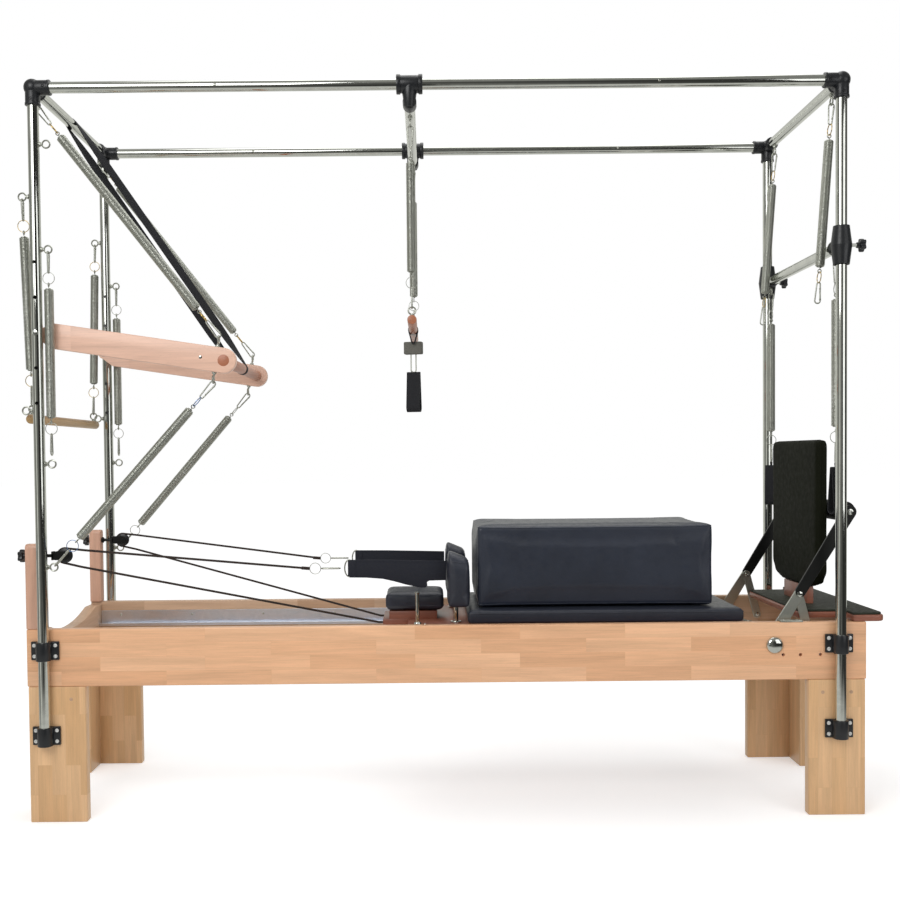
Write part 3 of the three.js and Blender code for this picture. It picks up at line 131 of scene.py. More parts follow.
def ring(centre, normal, radius, wire, steps=28, sidesRound=8):
    bm = bmesh.new()
    centre, normal = Vector(centre), Vector(normal).normalized()
    side = normal.orthogonal().normalized()
    section = Matrix((side, normal, side.cross(normal))).transposed().to_4x4()
    bmesh.ops.create_circle(bm, cap_ends=False, radius=wire, segments=sidesRound,
                            matrix=Matrix.Translation(centre + side * radius) @ section)
    bmesh.ops.spin(bm, geom=[*bm.verts, *bm.edges], cent=centre, axis=normal, angle=2 * math.pi, steps=steps,
                   use_merge=True)
    return bm


def hull(*parts):
    bm = gather(*parts)
    bmesh.ops.convex_hull(bm, input=bm.verts)
    loose = [v for v in bm.verts if not v.link_faces]
    bmesh.ops.delete(bm, geom=loose, context="VERTS")
    inner = [v for v in bm.verts if all(e.calc_face_angle(0) < 0.001 for e in v.link_edges if e.is_manifold)]
    bmesh.ops.dissolve_verts(bm, verts=inner)
    bmesh.ops.dissolve_limit(bm, angle_limit=0.01, verts=bm.verts, edges=bm.edges)
    return bm


# A board seen as an outline of a few corners, pushed out along an axis
def board(outline, low, high, axis, edge=0, segments=2):
    bm = bmesh.new()
    corner = {"x": lambda u, w: (low, u, w), "y": lambda u, w: (u, low, w), "z": lambda u, w: (u, w, low)}[axis]
    face = bm.faces.new([bm.verts.new(corner(u, w)) for u, w in outline])
    pushed = bmesh.ops.extrude_face_region(bm, geom=[face])
    step = Vector([high - low if axis == a else 0 for a in "xyz"])
    bmesh.ops.translate(bm, vec=step, verts=[g for g in pushed["geom"] if isinstance(g, bmesh.types.BMVert)])
    bmesh.ops.recalc_face_normals(bm, faces=bm.faces)
    return bevelSharp(bm, edge, segments) if edge else bm


def arc(centre, radius, start, stop, steps):
    turns = [math.radians(start + (stop - start) * i / steps) for i in range(steps + 1)]
    return [(centre[0] + radius * math.cos(t), centre[1] + radius * math.sin(t)) for t in turns]


def roundedOutline(low, high, radius, steps=6):
    return [
        *arc((high[0] - radius, low[1] + radius), radius, -90, 0, steps),
        *arc((high[0] - radius, high[1] - radius), radius, 0, 90, steps),
        *arc((low[0] + radius, high[1] - radius), radius, 90, 180, steps),
        *arc((low[0] + radius, low[1] + radius), radius, 180, 270, steps),
    ]


def beltPath(a, b, radiusA, radiusB, steps=12):
    turn = math.degrees(math.atan2(b[1] - a[1], b[0] - a[0]))
    lean = math.degrees(math.acos((radiusA - radiusB) / math.dist(a, b)))
    return [
        *arc(a, radiusA, turn + lean, turn - lean + 360, steps),
        *arc(b, radiusB, turn - lean, turn + lean, steps),
    ]


# A round wire along a path of points
def wire(path, radius, closed=False, resolution=2):
    curve = bpy.data.curves.new("wire", "CURVE")
    curve.dimensions = "3D"
    curve.bevel_depth = radius
    curve.bevel_resolution = resolution
    curve.use_fill_caps = True
    spline = curve.splines.new("POLY")
    spline.points.add(len(path) - 1)
    for knot, point in zip(spline.points, path):
        knot.co = (*point, 1)
    spline.use_cyclic_u = closed
    holder = bpy.data.objects.new("wire", curve)
    mesh = bpy.data.meshes.new_from_object(holder)
    bm = bmesh.new()
    bm.from_mesh(mesh)
    bpy.data.objects.remove(holder)
    bpy.data.meshes.remove(mesh)
    return bm


# A flat band whose run lies in the X-Z plane at one Y, or in a plane of its own through a matrix
def band(path, width, thick, y=0, closed=True, edge=0):
    bm = bmesh.new()
    spots = [bm.verts.new((x, y - width / 2, z)) for x, z in path]
    run = [bm.edges.new(pair) for pair in zip(spots, spots[1:])]
    if closed:
        run.append(bm.edges.new((spots[-1], spots[0])))
    for _ in range(4):
        pushed = bmesh.ops.extrude_edge_only(bm, edges=run)["geom"]
        run = [g for g in pushed if isinstance(g, bmesh.types.BMEdge)]
        bmesh.ops.translate(bm, vec=(0, width / 4, 0), verts=[g for g in pushed if isinstance(g, bmesh.types.BMVert)])
        run = [e for e in run if abs(e.verts[0].co.y - e.verts[1].co.y) < 0.001]
    bmesh.ops.recalc_face_normals(bm, faces=bm.faces)
    bmesh.ops.solidify(bm, geom=bm.faces, thickness=thick)
    return bevelSharp(bm, edge, 2, 60) if edge else bm


def nut(centre, axis, radius, thick):
    centre, axis = Vector(centre), Vector(axis).normalized()
    return rod(centre, centre + axis * thick, radius, edge=min(0.8, thick / 5), segments=6)


def screw(centre, axis, radius):
    centre, axis = Vector(centre), Vector(axis).normalized()
    head = [(0, radius * 0.2), (radius * 0.42, radius * 0.2), (radius * 0.46, radius * 0.5), (radius * 0.8, radius * 0.4),
            (radius, 0), (radius, -1)]
    return lathe(centre, axis, head, 18)


def gather(*parts):
    bm = bmesh.new()
    for part in parts:
        mesh = bpy.data.meshes.new("part")
        part.to_mesh(mesh)
        part.free()
        bm.from_mesh(mesh)
        bpy.data.meshes.remove(mesh)
    return bm


# A finished piece: its shape goes into the frame, gets its finish, and rides on a body
def addPiece(name, bm, finish, body, nodes=(), smooth=35, blend=None, merge=0.01):
    if merge:
        bmesh.ops.remove_doubles(bm, verts=bm.verts, dist=merge)
    bmesh.ops.recalc_face_normals(bm, faces=bm.faces)
    bm.transform(toFrame)
    mesh = bpy.data.meshes.new(name)
    bm.to_mesh(mesh)
    bm.free()
    mesh.shade_smooth()
    mesh.set_sharp_from_angle(angle=math.radians(smooth))
    mesh.materials.append(finish)
    piece = bpy.data.objects.new(name, mesh)
    scene.collection.objects.link(piece)
    if blend:
        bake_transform(piece)
    else:
        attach(piece, body)
    if nodes:
        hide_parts(*nodes)
    return piece


# Cuts holes in a finished piece with cutters in millimetres
def carve(piece, *cutters):
    cutter = bmesh.new()
    for part in cutters:
        mesh = bpy.data.meshes.new("cutter")
        part.to_mesh(mesh)
        part.free()
        cutter.from_mesh(mesh)
        bpy.data.meshes.remove(mesh)
    cutter.transform(toFrame)
    mesh = bpy.data.meshes.new("cutter")
    cutter.to_mesh(mesh)
    cutter.free()
    tool = bpy.data.objects.new("cutter", mesh)
    scene.collection.objects.link(tool)
    change = piece.modifiers.new("holes", "BOOLEAN")
    change.operation = "DIFFERENCE"
    change.solver = "EXACT"
    change.object = tool
    applyModifiers(piece)
    bpy.data.objects.remove(tool)
    piece.data.set_sharp_from_angle(angle=math.radians(35))


def applyModifiers(piece):
    bpy.context.view_layer.update()
    evaluated = piece.evaluated_get(bpy.context.evaluated_depsgraph_get())
    changed = bpy.data.meshes.new_from_object(evaluated)
    piece.modifiers.clear()
    old = piece.data
    piece.data = changed
    bpy.data.meshes.remove(old)


# Colours are given as they look on screen, 0 to 255
def linear(colour):
    shares = [c / 255 for c in colour]
    return tuple(s / 12.92 if s <= 0.04045 else ((s + 0.055) / 1.055) ** 2.4 for s in shares) + (1.0,)


# Shared effects, as node groups
def newGroup(name, inputs, outputs):
    group = bpy.data.node_groups.new(name, "ShaderNodeTree")
    kinds = {"vector": "NodeSocketVector", "colour": "NodeSocketColor", "value": "NodeSocketFloat"}
    for label, kind, start in inputs:
        socket = group.interface.new_socket(name=label, in_out="INPUT", socket_type=kinds[kind])
        if start is not None:
            socket.default_value = start
    for label, kind in outputs:
        group.interface.new_socket(name=label, in_out="OUTPUT", socket_type=kinds[kind])
    return group, group.nodes.new("NodeGroupInput"), group.nodes.new("NodeGroupOutput")


def addNode(tree, kind, links=None, **settings):
    node = tree.nodes.new(kind)
    for key, value in settings.items():
        setattr(node, key, value)
    for socket, source in (links or {}).items():
        if isinstance(source, bpy.types.NodeSocket):
            tree.links.new(source, node.inputs[socket])
        else:
            node.inputs[socket].default_value = source
    return node


def scaled(tree, vector, scale):
    return addNode(tree, "ShaderNodeVectorMath", {0: vector, 1: scale}, operation="MULTIPLY").outputs[0]


def ranged(tree, value, low, high, fromLow=0.0, fromHigh=1.0):
    return addNode(tree, "ShaderNodeMapRange", {"Value": value, "From Min": fromLow, "From Max": fromHigh,
                                                "To Min": low, "To Max": high}).outputs[0]


def calc(tree, operation, a, b=0.0):
    return addNode(tree, "ShaderNodeMath", {0: a, 1: b}, operation=operation).outputs[0]


def makeBoardGrain():
    group, given, result = newGroup("board grain", [
        ("Vector", "vector", None), ("Light", "colour", None), ("Dark", "colour", None), ("Block Length", "value", 0.3),
        ("Block Height", "value", 0.042), ("Grain", "value", 1.0),
    ], [("Color", "colour"), ("Roughness", "value"), ("Height", "value")])
    vector = given.outputs["Vector"]
    blocks = addNode(group, "ShaderNodeTexBrick", {
        "Vector": vector, "Color1": given.outputs["Light"], "Color2": given.outputs["Dark"],
        "Mortar": given.outputs["Dark"], "Scale": 1.0, "Mortar Size": 0.00025, "Mortar Smooth": 0.3,
        "Brick Width": given.outputs["Block Length"], "Row Height": given.outputs["Block Height"],
    }, offset=0.37, offset_frequency=2)
    shift = scaled(group, blocks.outputs["Color"], (3.0, 1.7, 2.3))
    place = addNode(group, "ShaderNodeVectorMath", {0: vector, 1: shift}, operation="ADD").outputs[0]
    figure = addNode(group, "ShaderNodeTexNoise", {"Vector": scaled(group, place, (2.2, 30, 30)), "Scale": 1.0,
                                                   "Detail": 5.0, "Roughness": 0.55, "Distortion": 0.6})
    streak = addNode(group, "ShaderNodeTexNoise", {"Vector": scaled(group, place, (9, 260, 260)), "Scale": 1.0,
                                                   "Detail": 3.0, "Roughness": 0.6})
    fleck = addNode(group, "ShaderNodeTexNoise", {"Vector": scaled(group, place, (70, 900, 900)), "Scale": 1.0,
                                                  "Detail": 1.0})
    pores = ranged(group, fleck.outputs["Fac"], 0.0, 1.0, 0.62, 0.74)
    tone = calc(group, "ADD", ranged(group, figure.outputs["Fac"], 0.88, 1.1, 0.3, 0.7),
                ranged(group, streak.outputs["Fac"], -0.07, 0.06, 0.3, 0.7))
    tone = calc(group, "SUBTRACT", tone, calc(group, "MULTIPLY", pores, 0.09))
    shade = addNode(group, "ShaderNodeHueSaturation", {"Color": blocks.outputs["Color"], "Value": tone,
                                                       "Saturation": 1.0, "Fac": given.outputs["Grain"]})
    links = group.links
    links.new(shade.outputs["Color"], result.inputs["Color"])
    links.new(ranged(group, figure.outputs["Fac"], 0.36, 0.5), result.inputs["Roughness"])
    grooves = calc(group, "MULTIPLY", blocks.outputs["Fac"], -1.5)
    height = calc(group, "ADD", calc(group, "SUBTRACT", streak.outputs["Fac"], pores), grooves)
    links.new(height, result.inputs["Height"])
    return group


def makeLeatherSkin():
    group, given, result = newGroup("leather skin", [
        ("Vector", "vector", None), ("Base", "colour", None), ("Pebble", "value", 700.0), ("Gloss", "value", 0.42),
    ], [("Color", "colour"), ("Roughness", "value"), ("Height", "value")])
    vector = given.outputs["Vector"]
    cells = addNode(group, "ShaderNodeTexVoronoi", {"Vector": vector, "Scale": given.outputs["Pebble"], "Randomness": 1.0},
                    feature="DISTANCE_TO_EDGE")
    creases = ranged(group, cells.outputs["Distance"], 0.0, 1.0, 0.0, 0.28)
    patches = addNode(group, "ShaderNodeTexNoise", {"Vector": vector, "Scale": 9.0, "Detail": 5.0, "Roughness": 0.6})
    rubbed = addNode(group, "ShaderNodeTexNoise", {"Vector": vector, "Scale": 60.0, "Detail": 4.0, "Roughness": 0.65})
    # Painted shade: the tone darkens along the creases between pebbles, on top of the random patches
    tone = calc(group, "ADD", ranged(group, patches.outputs["Fac"], 0.82, 1.12, 0.3, 0.7),
                ranged(group, creases, -0.12, 0.05))
    shade = addNode(group, "ShaderNodeHueSaturation", {"Color": given.outputs["Base"], "Value": tone})
    group.links.new(shade.outputs["Color"], result.inputs["Color"])
    rough = calc(group, "ADD", given.outputs["Gloss"], ranged(group, rubbed.outputs["Fac"], -0.07, 0.1, 0.3, 0.7))
    group.links.new(rough, result.inputs["Roughness"])
    group.links.new(calc(group, "ADD", creases, ranged(group, rubbed.outputs["Fac"], -0.4, 0.4)), result.inputs["Height"])
    return group


def makeWeave():
    group, given, result = newGroup("weave", [
        ("Vector", "vector", None), ("Base", "colour", None), ("Threads", "value", 500.0),
    ], [("Color", "colour"), ("Roughness", "value"), ("Height", "value")])
    vector = given.outputs["Vector"]
    spread = addNode(group, "ShaderNodeVectorMath", {0: vector, "Scale": given.outputs["Threads"]}, operation="SCALE")
    parts = addNode(group, "ShaderNodeSeparateXYZ", {"Vector": spread.outputs[0]})
    warp = calc(group, "SINE", calc(group, "ADD", parts.outputs["X"], parts.outputs["Y"]))
    weft = calc(group, "SINE", calc(group, "SUBTRACT", parts.outputs["Z"], calc(group, "MULTIPLY", parts.outputs["Y"], 0.5)))
    cross = calc(group, "MULTIPLY", warp, weft)
    fuzz = addNode(group, "ShaderNodeTexNoise", {"Vector": vector, "Scale": 220.0, "Detail": 3.0})
    # Painted shade and highlight: the colour follows the weave's height, darker in the dips between threads and lighter
    # on the crossings
    tone = calc(group, "ADD", ranged(group, cross, 0.75, 1.2, -1.0, 1.0), ranged(group, fuzz.outputs["Fac"], -0.2, 0.2))
    shade = addNode(group, "ShaderNodeHueSaturation", {"Color": given.outputs["Base"], "Value": tone})
    group.links.new(shade.outputs["Color"], result.inputs["Color"])
    group.links.new(ranged(group, fuzz.outputs["Fac"], 0.7, 0.95), result.inputs["Roughness"])
    group.links.new(cross, result.inputs["Height"])
    return group


def makeHandling():
    group, given, result = newGroup("handling marks", [
        ("Vector", "vector", None), ("Base", "colour", None), ("Smooth", "value", 0.1), ("Marked", "value", 0.25),
        ("Scale", "value", 25.0), ("Speckle", "value", 900.0),
    ], [("Color", "colour"), ("Roughness", "value"), ("Height", "value")])
    vector = given.outputs["Vector"]
    smears = addNode(group, "ShaderNodeTexNoise", {"Vector": vector, "Scale": given.outputs["Scale"], "Detail": 6.0,
                                                   "Roughness": 0.65, "Distortion": 0.8})
    grit = addNode(group, "ShaderNodeTexNoise", {"Vector": vector, "Scale": given.outputs["Speckle"], "Detail": 2.0})
    mask = ranged(group, smears.outputs["Fac"], 0.0, 1.0, 0.42, 0.72)
    spread = calc(group, "MULTIPLY", mask, calc(group, "SUBTRACT", given.outputs["Marked"], given.outputs["Smooth"]))
    group.links.new(calc(group, "ADD", given.outputs["Smooth"], spread), result.inputs["Roughness"])
    shade = addNode(group, "ShaderNodeHueSaturation", {
        "Color": given.outputs["Base"], "Value": ranged(group, smears.outputs["Fac"], 1.05, 0.86, 0.3, 0.75)})
    group.links.new(shade.outputs["Color"], result.inputs["Color"])
    group.links.new(grit.outputs["Fac"], result.inputs["Height"])
    return group


# What bright metal mirrors of the studio, round the compass from the camera's side: a white wall behind the part, a
# grey wall with one bright strip to the left and a dark one to the right
def makeStudioWalls():
    group, given, result = newGroup("studio walls", [("X", "value", 0.0), ("Y", "value", 1.0)], [("Color", "colour")])
    angle = calc(group, "ARCTAN2", given.outputs["X"], given.outputs["Y"])
    ramp = addNode(group, "ShaderNodeValToRGB", {"Fac": ranged(group, angle, 0.0, 1.0, -math.pi, math.pi)})
    walls = [(0.0, 0.1), (0.04, 0.2), (0.11, 0.26), (0.12, 0.95), (0.145, 0.95), (0.155, 0.26), (0.27, 0.3), (0.31, 0.62),
             (0.36, 0.74), (0.62, 0.74), (0.67, 0.6), (0.71, 0.05), (0.93, 0.03), (0.97, 0.05), (1.0, 0.1)]
    while len(ramp.color_ramp.elements) < len(walls):
        ramp.color_ramp.elements.new(0.5)
    for element, (at, level) in zip(ramp.color_ramp.elements, walls):
        element.position = at
        element.color = (level, level, level * 0.94, 1)
    group.links.new(ramp.outputs["Color"], result.inputs["Color"])
    return group


boardGrain, leatherSkin, weave, handling = makeBoardGrain(), makeLeatherSkin(), makeWeave(), makeHandling()
studioWalls = makeStudioWalls()
alongX, alongY, alongZ = (-90, 0, 0), (0, -90, -90), (90, 0, 90)  # turns that lay a board's pattern along an axis


# A material: one shared effect, placed on Object coordinates, feeding a Principled BSDF
def newFinish(name, group, values, metallic=0.0, turn=(0, 0, 0), offset=(0, 0, 0), bump=0.15, depth=0.0004, **sockets):
    finish = bpy.data.materials.new(name)
    finish.use_nodes = True
    tree = finish.node_tree
    shader = tree.nodes["Principled BSDF"]
    shader.inputs["Metallic"].default_value = metallic
    for socket, value in sockets.items():
        shader.inputs[socket.replace("_", " ")].default_value = value
    coords = addNode(tree, "ShaderNodeTexCoord")
    mapping = addNode(tree, "ShaderNodeMapping", {"Vector": coords.outputs["Object"], "Location": offset,
                                                  "Rotation": [math.radians(t) for t in turn]})
    effect = addNode(tree, "ShaderNodeGroup", node_tree=group)
    tree.links.new(mapping.outputs["Vector"], effect.inputs["Vector"])
    for socket, value in values.items():
        effect.inputs[socket].default_value = linear(value) if isinstance(value, tuple) else value
    tree.links.new(effect.outputs["Color"], shader.inputs["Base Color"])
    tree.links.new(effect.outputs["Roughness"], shader.inputs["Roughness"])
    relief = addNode(tree, "ShaderNodeBump", {"Strength": bump, "Distance": depth, "Height": effect.outputs["Height"]})
    tree.links.new(relief.outputs["Normal"], shader.inputs["Normal"])
    return finish


finishes = {
    "rail": {"Light": (233, 184, 143), "Dark": (219, 166, 124), "Block Length": 0.31, "Block Height": 0.0425},
    "leg": {"Light": (223, 182, 137), "Dark": (207, 164, 116), "Block Length": 0.24, "Block Height": 0.042},
    # Painted shade: the same wood as the rail, made darker for the boards inside the bed
    "inside": {"Light": (206, 172, 142), "Dark": (184, 146, 114), "Block Length": 0.27, "Block Height": 0.0425},
    "riser": {"Light": (214, 170, 146), "Dark": (198, 152, 126), "Block Length": 3.0, "Block Height": 0.6},
    "arm": {"Light": (232, 194, 174), "Dark": (217, 175, 151), "Block Length": 3.0, "Block Height": 0.6},
    "dowel": {"Light": (176, 142, 92), "Dark": (150, 112, 66), "Block Length": 3.0, "Block Height": 0.6},
    "trapezeDowel": {"Light": (190, 122, 86), "Dark": (160, 96, 66), "Block Length": 3.0, "Block Height": 0.6},
    "redBoard": {"Light": (150, 92, 70), "Dark": (122, 70, 52), "Block Length": 0.5, "Block Height": 0.05},
}
coat = {"Coat_Weight": 0.35, "Coat_Roughness": 0.25}
railWood = newFinish("rail wood", boardGrain, finishes["rail"], turn=alongX, offset=(0.11, 0.019, 0), **coat)
# The back rail and the end boards take the darker inside copy of the rail wood, which is painted shade
shadedBackRailWood = newFinish("back rail wood in painted shade", boardGrain, finishes["inside"], turn=alongX, offset=(0.53, 0.019, 0), **coat)
legWood = newFinish("leg wood", boardGrain, finishes["leg"], turn=alongZ, offset=(0.07, 0.012, 0), **coat)
endWood = newFinish("end wood", boardGrain, finishes["inside"], turn=alongY, offset=(0.2, 0.02, 0), **coat)
riserWood = newFinish("riser wood", boardGrain, finishes["riser"], turn=alongZ, offset=(0.31, 0, 0), **coat)
armWood = newFinish("arm wood", boardGrain, finishes["arm"], turn=alongX, **coat)
dowelWood = newFinish("dowel wood", boardGrain, finishes["dowel"], turn=alongY, **coat)
trapezeWood = newFinish("trapeze wood", boardGrain, finishes["trapezeDowel"], turn=alongY, **coat)
redWood = newFinish("red board wood", boardGrain, finishes["redBoard"], turn=alongX, **coat)
chrome = newFinish("chrome", handling, {"Base": (208, 210, 204), "Smooth": 0.05, "Marked": 0.12}, 1.0, bump=0.01)
springChrome = newFinish("spring steel", handling, {"Base": (190, 192, 183), "Smooth": 0.34, "Marked": 0.46}, 1.0,
                         bump=0.02)
brightZinc = newFinish("bright zinc", handling, {"Base": (228, 229, 226), "Smooth": 0.3, "Marked": 0.42}, 0.35, bump=0.03)
blueSteel = newFinish("blue plated steel", handling, {"Base": (120, 152, 206), "Smooth": 0.2, "Marked": 0.3}, 1.0,
                      bump=0.02)
brass = newFinish("yellow plated steel", handling, {"Base": (206, 178, 112), "Smooth": 0.18, "Marked": 0.32}, 1.0, bump=0.02)
aluminium = newFinish("aluminium", handling, {"Base": (226, 231, 240), "Smooth": 0.3, "Marked": 0.42}, 1.0, bump=0.04)
fittingBlack = newFinish("black powder coat", handling, {"Base": (28, 30, 33), "Smooth": 0.3, "Marked": 0.45,
                                                       "Speckle": 1400.0}, bump=0.16, depth=0.0003)
armBlack = newFinish("black arm paint", handling, {"Base": (20, 21, 20), "Smooth": 0.3, "Marked": 0.44}, bump=0.08,
                     Specular_IOR_Level=0.28)
rubber = newFinish("black grip", handling, {"Base": (15, 15, 16), "Smooth": 0.5, "Marked": 0.66, "Speckle": 600.0},
                   bump=0.2, Specular_IOR_Level=0.25)
plastic = newFinish("black plastic", handling, {"Base": (24, 25, 27), "Smooth": 0.28, "Marked": 0.4}, bump=0.05)
boxLeather = newFinish("box leather", leatherSkin, {"Base": (38, 44, 58), "Pebble": 620.0, "Gloss": 0.38}, bump=0.22,
                       depth=0.0003, Coat_Weight=0.12, Coat_Roughness=0.4)
padLeather = newFinish("pad leather", leatherSkin, {"Base": (39, 43, 55), "Pebble": 620.0, "Gloss": 0.4}, bump=0.22,
                       depth=0.0003, Coat_Weight=0.12, Coat_Roughness=0.4)
boardLeather = newFinish("jump board leather", leatherSkin, {"Base": (22, 24, 13), "Pebble": 700.0, "Gloss": 0.66},
                         bump=0.12, depth=0.0002, Specular_IOR_Level=0.08)
mat = newFinish("platform mat", leatherSkin, {"Base": (40, 43, 31), "Pebble": 260.0, "Gloss": 0.6}, bump=0.4,
                depth=0.0006, Specular_IOR_Level=0.3)
webbing = newFinish("black webbing", weave, {"Base": (24, 25, 30), "Threads": 3600.0}, bump=0.35, depth=0.0003)
strapWebbing = newFinish("strap webbing", weave, {"Base": (26, 29, 40), "Threads": 3000.0}, bump=0.3, depth=0.0003)
greyWebbing = newFinish("grey webbing", weave, {"Base": (98, 97, 90), "Threads": 3600.0}, bump=0.35, depth=0.0003)
ropeBraid = newFinish("rope braid", weave, {"Base": (46, 34, 28), "Threads": 2600.0}, bump=0.5, depth=0.0004)
print("finishes made")

# Bed
rail = {"halfBed": 321, "inner": 289, "low": 404, "high": 574, "left": -1227, "right": 1253, "edge": 3.5,
        "holes": (1007, 1058, 1117), "holeZ": 478, "pivot": (982, 507)}
legs = {"frontWidth": 168, "frontThick": 34, "sideDepth": 145, "sideThick": 23, "inset": 3, "edge": 3}


def makeBed():
    for side, s in sides.items():
        body = block((rail["left"], s * rail["inner"], rail["low"]), (rail["right"], s * rail["halfBed"], rail["high"]),
                     rail["edge"], 3)
        # The back rail takes the darker inside copy of the rail wood, which is painted shade
        wood = railWood if s < 0 else shadedBackRailWood
        piece = addPiece(f"rail_{side}", body, wood, "bed", [f"side_rail_{side}"])
        across = [(x, rail["holeZ"], 5) for x in rail["holes"]] + [(*rail["pivot"], 8.3)]
        carve(piece, *[rod((x, s * 280, z), (x, s * 330, z), r, segments=20) for x, z, r in across])
        for end, e in ends.items():
            outer = (rail["left"] if e < 0 else rail["right"]) - e * legs["inset"]
            face = s * rail["halfBed"]
            inner = face - s * legs["frontThick"]
            frontBoard = block((outer, face, 0), (outer - e * legs["frontWidth"], inner, rail["low"] - 0.3), legs["edge"], 3)
            sideBoard = block((outer, inner - s * 0.2, 0), (outer - e * legs["sideThick"], face - s * legs["sideDepth"],
                                                           rail["low"] - 0.3), legs["edge"], 3)
            addPiece(f"leg_board_{side}_{end}", frontBoard, legWood, "bed", [f"leg_{side}_{end}"])
            addPiece(f"leg_side_board_{side}_{end}", sideBoard, legWood, "bed")
            # Two screw plugs where the leg meets the rail
            plugs = [rod((outer - e * x, face - s * 1.5, z), (outer - e * x, face + s * 0.25, z), 5.5, edge=0.4, segments=20)
                     for x, z in ((42, 366), (126, 366))]
            addPiece(f"leg_plugs_{side}_{end}", gather(*plugs), endWood, "bed")


def makeEndBoards():
    top = 566
    half = 288.7
    scoop = [(-half, 404), (half, 404), (half, top), (219, top)]
    for i in range(1, 24):
        t = i / 24
        scoop.append((219 - 438 * t, top - 4 * 34 * t * (1 - t)))
    scoop += [(-219, top), (-half, top)]
    addPiece("scooped_end", board(scoop, -1227, -1189, "x", 2), endWood, "bed", ["end_board_left"])
    addPiece("foot_end", block((1215, -half, 404), (1253, half, 574), 2), endWood, "bed", ["end_board_right"])
    for side, s in sides.items():
        low, high = sorted((s * 321, s * 281))
        shape = [*arc((low + 12, 814.3), 12, 180, 90, 6), *arc((high - 12, 814.3), 12, 90, 0, 6), (high, 574.3), (low, 574.3)]
        piece = addPiece(f"riser_post_{side}", board(shape, -1227, -1189, "x", 3, 3), riserWood, "bed", [f"riser_{side}"])
        carve(piece, rod((-1240, s * 301, 790.3), (-1180, s * 301, 790.3), 5.3, segments=20))
        profile = [(s * 288.7, 493), (s * 288.7, 543), (s * 284.7, 543), (s * 284.7, 498), (s * 258.7, 498),
                   (s * 258.7, 502), (s * 254.7, 502), (s * 254.7, 493)]
        addPiece(f"rail_track_{side}", board(profile, -1188.7, 940, "x", 0.6, 1), aluminium, "bed", [f"track_{side}"])
        screws = [screw((x, s * 284.7, 528), (0, -s, 0), 4) for x in range(-1120, 940, 250)]
        addPiece(f"track_screws_{side}", gather(*screws), springChrome, "bed")
    bar = rod((1040, -288.7, 500), (1040, 288.7, 500), 8)
    feet = [rod((1040, s * 288.7, 500), (1040, s * 282.7, 500), 18, edge=1.5) for s in (-1, 1)]
    addPiece("spring_rod", gather(bar, *feet), springChrome, "bed", ["spring_bar"])


def makePlatform():
    plan = [(1076, -248), (1214, -248), (1214, -321), *arc((1286, -297), 24, -90, 0, 8), *arc((1286, 297), 24, 0, 90, 8),
            (1214, 321), (1214, 248), (1076, 248)]
    base = board(plan, 574.3, 594, "z", 5, 3)
    piece = addPiece("platform_board", base, redWood, "bed", ["standing_platform"])
    carve(piece, block((1151.7, -110.3, 580), (1172.3, 110.3, 610), 0))
    inset = [(1079, -245), (1216, -245), (1216, -318), *arc((1283, -294), 22, -90, 0, 8), *arc((1283, 294), 22, 0, 90, 8),
             (1216, 318), (1216, 245), (1079, 245)]
    cover = addPiece("platform_mat", board(inset, 593, 600.3, "z", 2.5, 3), mat, "bed")
    carve(cover, block((1151.7, -110.3, 580), (1172.3, 110.3, 610), 0))
    bracket = block((1000, -319, 574.1), (1066, -292, 578.5), 1)
    marks = [screw((x, -305, 578.5), (0, 0, 1), 4) for x in (1014, 1052)]
    addPiece("rail_bracket", gather(bracket, *marks), springChrome, "bed")


makeBed()
makeEndBoards()
makePlatform()
print("bed made")

# Tube frame
tube = {"radius": 16, "x": 1170, "y": 340, "low": 247.4, "top": 2150, "eyeReach": 36, "eyeRadius": 11, "eyeWire": 2.5}
clamp = {"width": 82, "height": 55, "ear": 8, "barrel": 22, "screwX": 31, "screwZ": 16}
postHoles = [1443 + 102 * k for k in range(-2, 3)]
postEyes = {"left": ((1837, -1), (1218, -1), (1988, 1), (1685, 1), (1062, 1), (760, 1)), "right": ()}


def eyeBolt(start, way, reach, normal, shell):
    start, way = Vector(start), Vector(way).normalized()
    centre = start + way * reach
    parts = [ring(centre, normal, tube["eyeRadius"], tube["eyeWire"]),
             rod(start, centre - way * (tube["eyeRadius"] - 1), 3.2, segments=16)]
    if shell:
        parts += [rod(start + way * (shell - 0.5), start + way * (shell + 1.6), 8, edge=0.4, segments=20),
                  nut(start + way * (shell + 1.6), way, 6.4, 4.5)]
    return gather(*parts)


